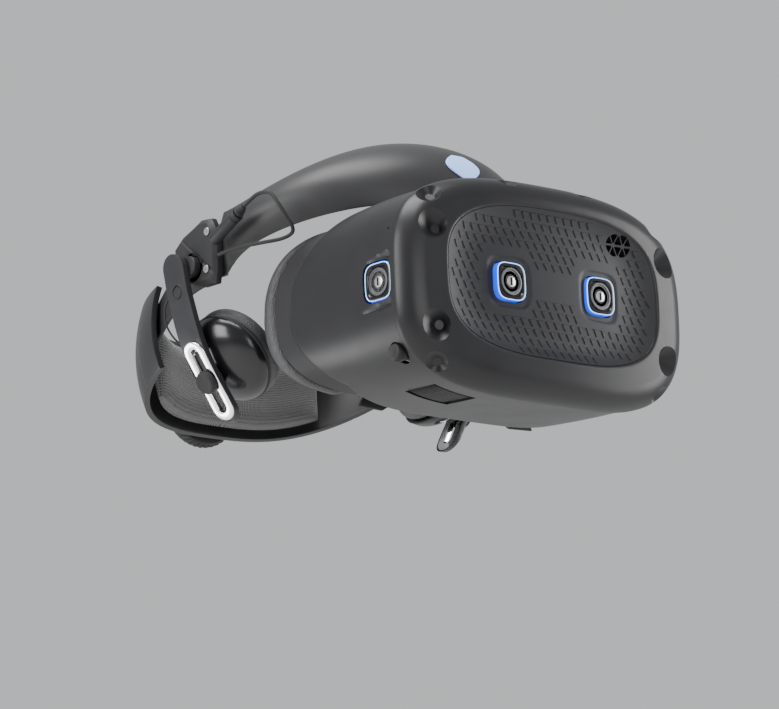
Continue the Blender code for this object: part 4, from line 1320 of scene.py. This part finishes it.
# ---------------------------------------------------------------- earphones
ARM_LINE = [Vector(p) for p in ((104.0, 173.6, 33.0), (101.6, 172.4, 16.0), (95.4, 168.6, -11.8),
                                (79.6, 166.4, -39.0))]
ARM_WIDTH = 15.6
ARM_THICK = 3.4
CUP_CENTRE = Vector((72.9, 165.6, -11.3))
CUP_AXIS = Vector((0.80, 0.0, -0.60))
SLOT_DIRECTION = (ARM_LINE[3] - ARM_LINE[2]).normalized()
SLOT_NORMAL = SLOT_DIRECTION.cross(Vector((0, -SLOT_DIRECTION.z, SLOT_DIRECTION.y))).normalized()
SLOT_NORMAL = SLOT_NORMAL * copysign(1, SLOT_NORMAL.x)


def arm_sections(width):
    """Cross-sections down the arm: a bent flat bar with round ends."""
    line = smooth_route(ARM_LINE, 14)
    tangents = [(line[min(i + 1, len(line) - 1)] - line[max(i - 1, 0)]).normalized()
                for i in range(len(line))]
    half = width / 2
    round_end = [radians(angle) for angle in (86, 80, 73, 65, 56, 46, 35, 23, 10)]
    stations = [(line[0] - tangents[0] * half * sin(a), tangents[0], half * cos(a)) for a in round_end]
    stations += [(point, tangent, half) for point, tangent in zip(line, tangents)]
    stations += [(line[-1] + tangents[-1] * half * sin(a), tangents[-1], half * cos(a))
                 for a in reversed(round_end)]
    sections = []
    for point, tangent, reach in stations:
        side = Vector((0, -tangent.z, tangent.y)).normalized() * reach
        inward = Vector((-ARM_THICK, 0, 0))
        sections.append([point + side, point - side, point - side + inward, point + side + inward])
    return sections


def mirrored(points, sign):
    return [Vector((sign * p.x, p.y, p.z)) for p in points]


def stadium(centre, half_length, radius, shift, count=20):
    """A slot outline along the arm, moved across X by shift."""
    across = Vector((0, -SLOT_DIRECTION.z, SLOT_DIRECTION.y)).normalized()
    points = []
    for end, first in ((half_length, 0), (-half_length, 180)):
        for i in range(count):
            angle = radians(first + 180 * i / (count - 1))
            points.append(centre + SLOT_DIRECTION * (end + radius * sin(angle)) + across * radius * cos(angle)
                          + Vector((shift, 0, 0)))
    return points


def make_arm(side, sign):
    swing, lift = "ear_swing_%s" % side, "ear_lift_%s" % side
    start = Vector((sign * 84.0, *KNUCKLE[1:]))
    barrel = [(0, 4.9), (0.6, 5.6), (9.6, 5.6), (9.8, 5.1), (10.3, 5.1), (10.5, 5.6), (12.6, 5.6)]
    piece("knuckle_%s" % side, turned(start, (sign, 0, 0), barrel, 48), "matte", swing,
          ["ear_hinge_%s" % side])
    foot = arc((173.6, 33.0), 6.5, -80, 80, 19) + arc((167.0, 33.5), 5.5, 100, 260, 19)
    piece("yoke_%s" % side, slab(foot, sign * 96.5, sign * 99.6), "matte", swing,
          bevel=0.5)
    middle = (ARM_LINE[2] + ARM_LINE[3]) / 2
    slot = loft([mirrored(stadium(middle, 15.2, 7.5, shift), sign) for shift in (-10, 30)])
    pin_place = ARM_LINE[0].lerp(ARM_LINE[1], 0.72)
    pin_cut = rod((sign * (pin_place.x - 1.0), pin_place.y, pin_place.z),
                  (sign * 110, pin_place.y, pin_place.z), 3.5, 32)
    piece("arm_%s" % side, loft([mirrored(section, sign) for section in arm_sections(ARM_WIDTH)]), "arm",
          lift,
          ["ear_arm_%s" % side], cuts=[slot, pin_cut], bevel=0.55)
    pin = [(0, 3.3), (0.9, 3.3), (1.2, 3.0), (1.25, 0.4)]
    piece("arm_pin_%s" % side, turned((sign * (pin_place.x - 1.0), pin_place.y, pin_place.z), (sign, 0, 0),
                                      pin, 40),
          "matte", lift)
    rings = [mirrored(stadium(middle, 15.2, radius, shift), sign)
             for radius, shift in ((2.9, -3.2), (7.2, -3.2), (7.2, 0.1), (7.0, 0.4), (6.6, 0.6), (3.5, 0.6),
                                   (3.1, 0.4), (2.9, 0.0))]
    piece("slot_trim_%s" % side, loft(rings, closed=True), "chrome", lift, ["slot_insert_%s" % side],
          smooth=50)
    knob = [(-5.6, 5.0), (-5.2, 5.6), (-3.4, 5.6), (-3.4, 2.4), (0.8, 2.4), (0.8, 5.8), (1.1, 6.1),
            (3.0, 6.1),
            (3.7, 5.7), (4.1, 4.9), (3.8, 3.8), (3.7, 0.4)]
    face = mirrored([middle], sign)[0]
    piece("slider_%s" % side, turned(face, mirrored([SLOT_NORMAL], sign)[0], knob, 48), "rubber",
          "ear_slide_%s" % side,
          ["ear_slider_%s" % side])
    route = [Vector((101.6, 180.0, 20.0)), Vector((101.2, 184.6, 14.0)), Vector((99.4, 185.6, 6.0)),
             Vector((96.4, 182.6, -1.6)), Vector((92.6, 178.2, -6.0))]
    piece("arm_wire_%s" % side, sweep(mirrored(smooth_route(route, 8), sign), 0.55, 10), "rubber", lift,
          smooth=60)


def make_cup(side, sign):
    sound = bpy.context.scene.headset_sound
    tilt = "ear_tilt_%s" % side
    axis = mirrored([CUP_AXIS], sign)[0]
    start = mirrored([CUP_CENTRE], sign)[0]
    profile = [(0, sound.cup_radius - 2.5), (0, sound.cup_radius - 0.4), (0.3, sound.cup_radius)]
    for i in range(1, 24):
        angle = radians(90 * i / 24)
        profile.append((0.3 + (sound.cup_depth - 0.3) * sin(angle), sound.cup_radius * cos(angle)))
    piece("cup_dome_%s" % side, turned(start, axis, profile, 96), "gloss", tilt, ["ear_cup_%s" % side],
          smooth=50)
    lip = [(-0.1, 24.0), (0.2, 24.9), (0.8, 25.1), (1.4, 24.7), (1.5, 24.0)]
    piece("cup_lip_%s" % side, turned(start, axis, lip, 96, closed=True), "matte", tilt)
    driver = [(-2.6, 2.0), (-3.0, 6.0), (-3.0, 16.0), (-2.6, 17.0), (-0.3, 17.0)]
    piece("driver_%s" % side, turned(start, axis, driver, 72), "matte", tilt, ["ear_driver_%s" % side])
    # Painted shade: near-black discs stand for the shade inside the grille's perforations.
    sites = []
    side_way = axis.cross(Vector((0, 1, 0))).normalized()
    for ring in range(1, sound.grille_rings + 1):
        for i in range(6 * ring):
            turn = 2 * pi * i / (6 * ring)
            out = side_way * cos(turn) + Vector((0, 1, 0)) * sin(turn)
            sites.append((start - axis * 3.02 + out * (2.35 * ring), -axis, 0))
    repeated("driver_holes_%s" % side, sites, "painted_shade", tilt, lambda tree, sizes: prism(tree, sizes, 10),
             {"Radius": 0.7 * MM, "Depth": 0.16 * MM})
    pad = []
    for i in range(26):
        turn = 2 * pi * i / 26
        pad.append((-4.9 - 4.6 * copysign(abs(cos(turn)) ** 0.85, cos(turn)), 20.8 + 4.1 * sin(turn)))
    cushion = piece("ear_cushion_%s" % side, turned(start, axis, pad, 84, closed=True), "leather", tilt,
                    ["ear_pad_%s" % side], smooth=60)
    sites = []
    for i in range(96):
        turn = 2 * pi * i / 96
        out = side_way * cos(turn) + Vector((0, 1, 0)) * sin(turn)
        sites.append((start - axis * 9.45 + out * 20.9, -axis, 90 - 360 * i / 96 * 1.0))
    repeated("ear_stitches_%s" % side, sites, "matte", tilt, lambda tree, sizes: prism(tree, sizes, 6),
             {"Radius": 0.32 * MM, "Depth": 0.3 * MM})


class OBJECT_OT_headset_earphones(bpy.types.Operator):
    """Build both earphones: knuckles, slotted arms, sliders, cups, drivers and pads"""
    bl_idname = "object.headset_earphones"
    bl_label = "Earphones"

    def execute(self, context):
        for side, sign in SIDES:
            make_arm(side, sign)
            make_cup(side, sign)
        return {"FINISHED"}


# ---------------------------------------------------------------- stage
VIEW_PLACE = (-1805.238, -1868.606, -606.991)
VIEW_TURN = (1.789672, 0.04089, -0.726738)
VIEW_LENS = 245.045
SENSOR = 36.0
FLOOR_SIZE = 9.0
FLOOR_Z = -0.75
SKY = (0.80, 0.81, 0.83, 1.0)
SKY_STRENGTH = 0.75
# name, place, what it is aimed at, size and power
SOFTBOXES = (
    ("top_softbox", (-0.5, -0.2, 1.9), (0, 0, 0.1), (1.6, 1.2), 85),
    ("left_softbox", (-2.2, 0.3, 0.7), (0, 0, 0.08), (1.0, 1.4), 60),
    ("front_fill", (-0.4, -2.4, 0.2), (0, 0, 0.06), (1.6, 1.0), 24),
    ("right_edge", (1.9, -1.0, 0.3), (0, 0, 0.06), (0.5, 1.4), 30),
    ("low_softbox", (-1.0, 1.3, -0.55), (0, 0, 0.08), (0.9, 0.7), 16))


def stage_light(name, place, aim, size, power):
    lamp = bpy.data.lights.new(name, "AREA")
    lamp.shape = "RECTANGLE"
    lamp.size, lamp.size_y = size
    lamp.energy = power
    item = bpy.data.objects.new(name, lamp)
    item.location = place
    item.rotation_euler = (Vector(aim) - Vector(place)).to_track_quat("-Z", "Y").to_euler()
    bpy.context.collection.objects.link(item)


class OBJECT_OT_headset_stage(bpy.types.Operator):
    """Set the camera, the plain pale floor and the soft studio lights"""
    bl_idname = "object.headset_stage"
    bl_label = "Stage"

    def execute(self, context):
        lens = bpy.data.cameras.new("view_camera")
        lens.sensor_width = SENSOR
        lens.lens = VIEW_LENS
        lens.clip_end = 50.0
        camera = bpy.data.objects.new("view_camera", lens)
        camera.location = at(*VIEW_PLACE)
        camera.rotation_euler = VIEW_TURN
        context.collection.objects.link(camera)
        context.scene.camera = camera
        bm = bmesh.new()
        bmesh.ops.create_grid(bm, x_segments=1, y_segments=1, size=FLOOR_SIZE)
        floor = mesh_object("pale_floor", bm, placed=True)
        for vert in floor.data.vertices:
            vert.co.z = FLOOR_Z
        pale = Finish("PaleFloor", (0.74, 0.74, 0.73), 0.7)
        pale.gloss(pale.noise(3.0), 0.6, 0.8)
        floor.data.materials.append(pale.material)
        world = context.scene.world or bpy.data.worlds.new("studio")
        context.scene.world = world
        world.use_nodes = True
        sky = world.node_tree.nodes["Background"]
        sky.inputs["Color"].default_value = SKY
        sky.inputs["Strength"].default_value = SKY_STRENGTH
        for softbox in SOFTBOXES:
            stage_light(*softbox)
        return {"FINISHED"}


class VIEW3D_PT_headset(bpy.types.Panel):
    """Lists the steps that build the headset"""
    bl_idname = "VIEW3D_PT_headset"
    bl_label = "Headset"
    bl_space_type = "VIEW_3D"
    bl_region_type = "UI"
    bl_category = "Headset"

    def draw(self, context):
        for group in (context.scene.headset_visor, context.scene.headset_band, context.scene.headset_sound):
            box = self.layout.box()
            for name in group.bl_rna.properties.keys():
                if name not in ("rna_type", "name"):
                    box.prop(group, name)
        for operator in OPERATORS:
            self.layout.operator(operator.bl_idname)


GROUPS = (("headset_visor", HeadsetVisor), ("headset_band", HeadsetBand), ("headset_sound", HeadsetSound))
OPERATORS = (
    OBJECT_OT_headset_stage, OBJECT_OT_headset_faceplate, OBJECT_OT_headset_housing,
    OBJECT_OT_headset_optics, OBJECT_OT_headset_electronics, OBJECT_OT_headset_controls,
    OBJECT_OT_headset_face_side, OBJECT_OT_headset_halo, OBJECT_OT_headset_brackets,
    OBJECT_OT_headset_leads, OBJECT_OT_headset_cradle, OBJECT_OT_headset_earphones)


def register():
    for name, group in GROUPS:
        bpy.utils.register_class(group)
        setattr(bpy.types.Scene, name, bpy.props.PointerProperty(type=group))
    for operator in OPERATORS:
        bpy.utils.register_class(operator)
    bpy.utils.register_class(VIEW3D_PT_headset)


def unregister():
    bpy.utils.unregister_class(VIEW3D_PT_headset)
    for operator in reversed(OPERATORS):
        bpy.utils.unregister_class(operator)
    for name, group in reversed(GROUPS):
        delattr(bpy.types.Scene, name)
        bpy.utils.unregister_class(group)


def main():
    register()
    make_finishes()
    for operator in OPERATORS:
        group, name = operator.bl_idname.split(".")
        getattr(getattr(bpy.ops, group), name)()


if __name__ == "__main__":
    main()
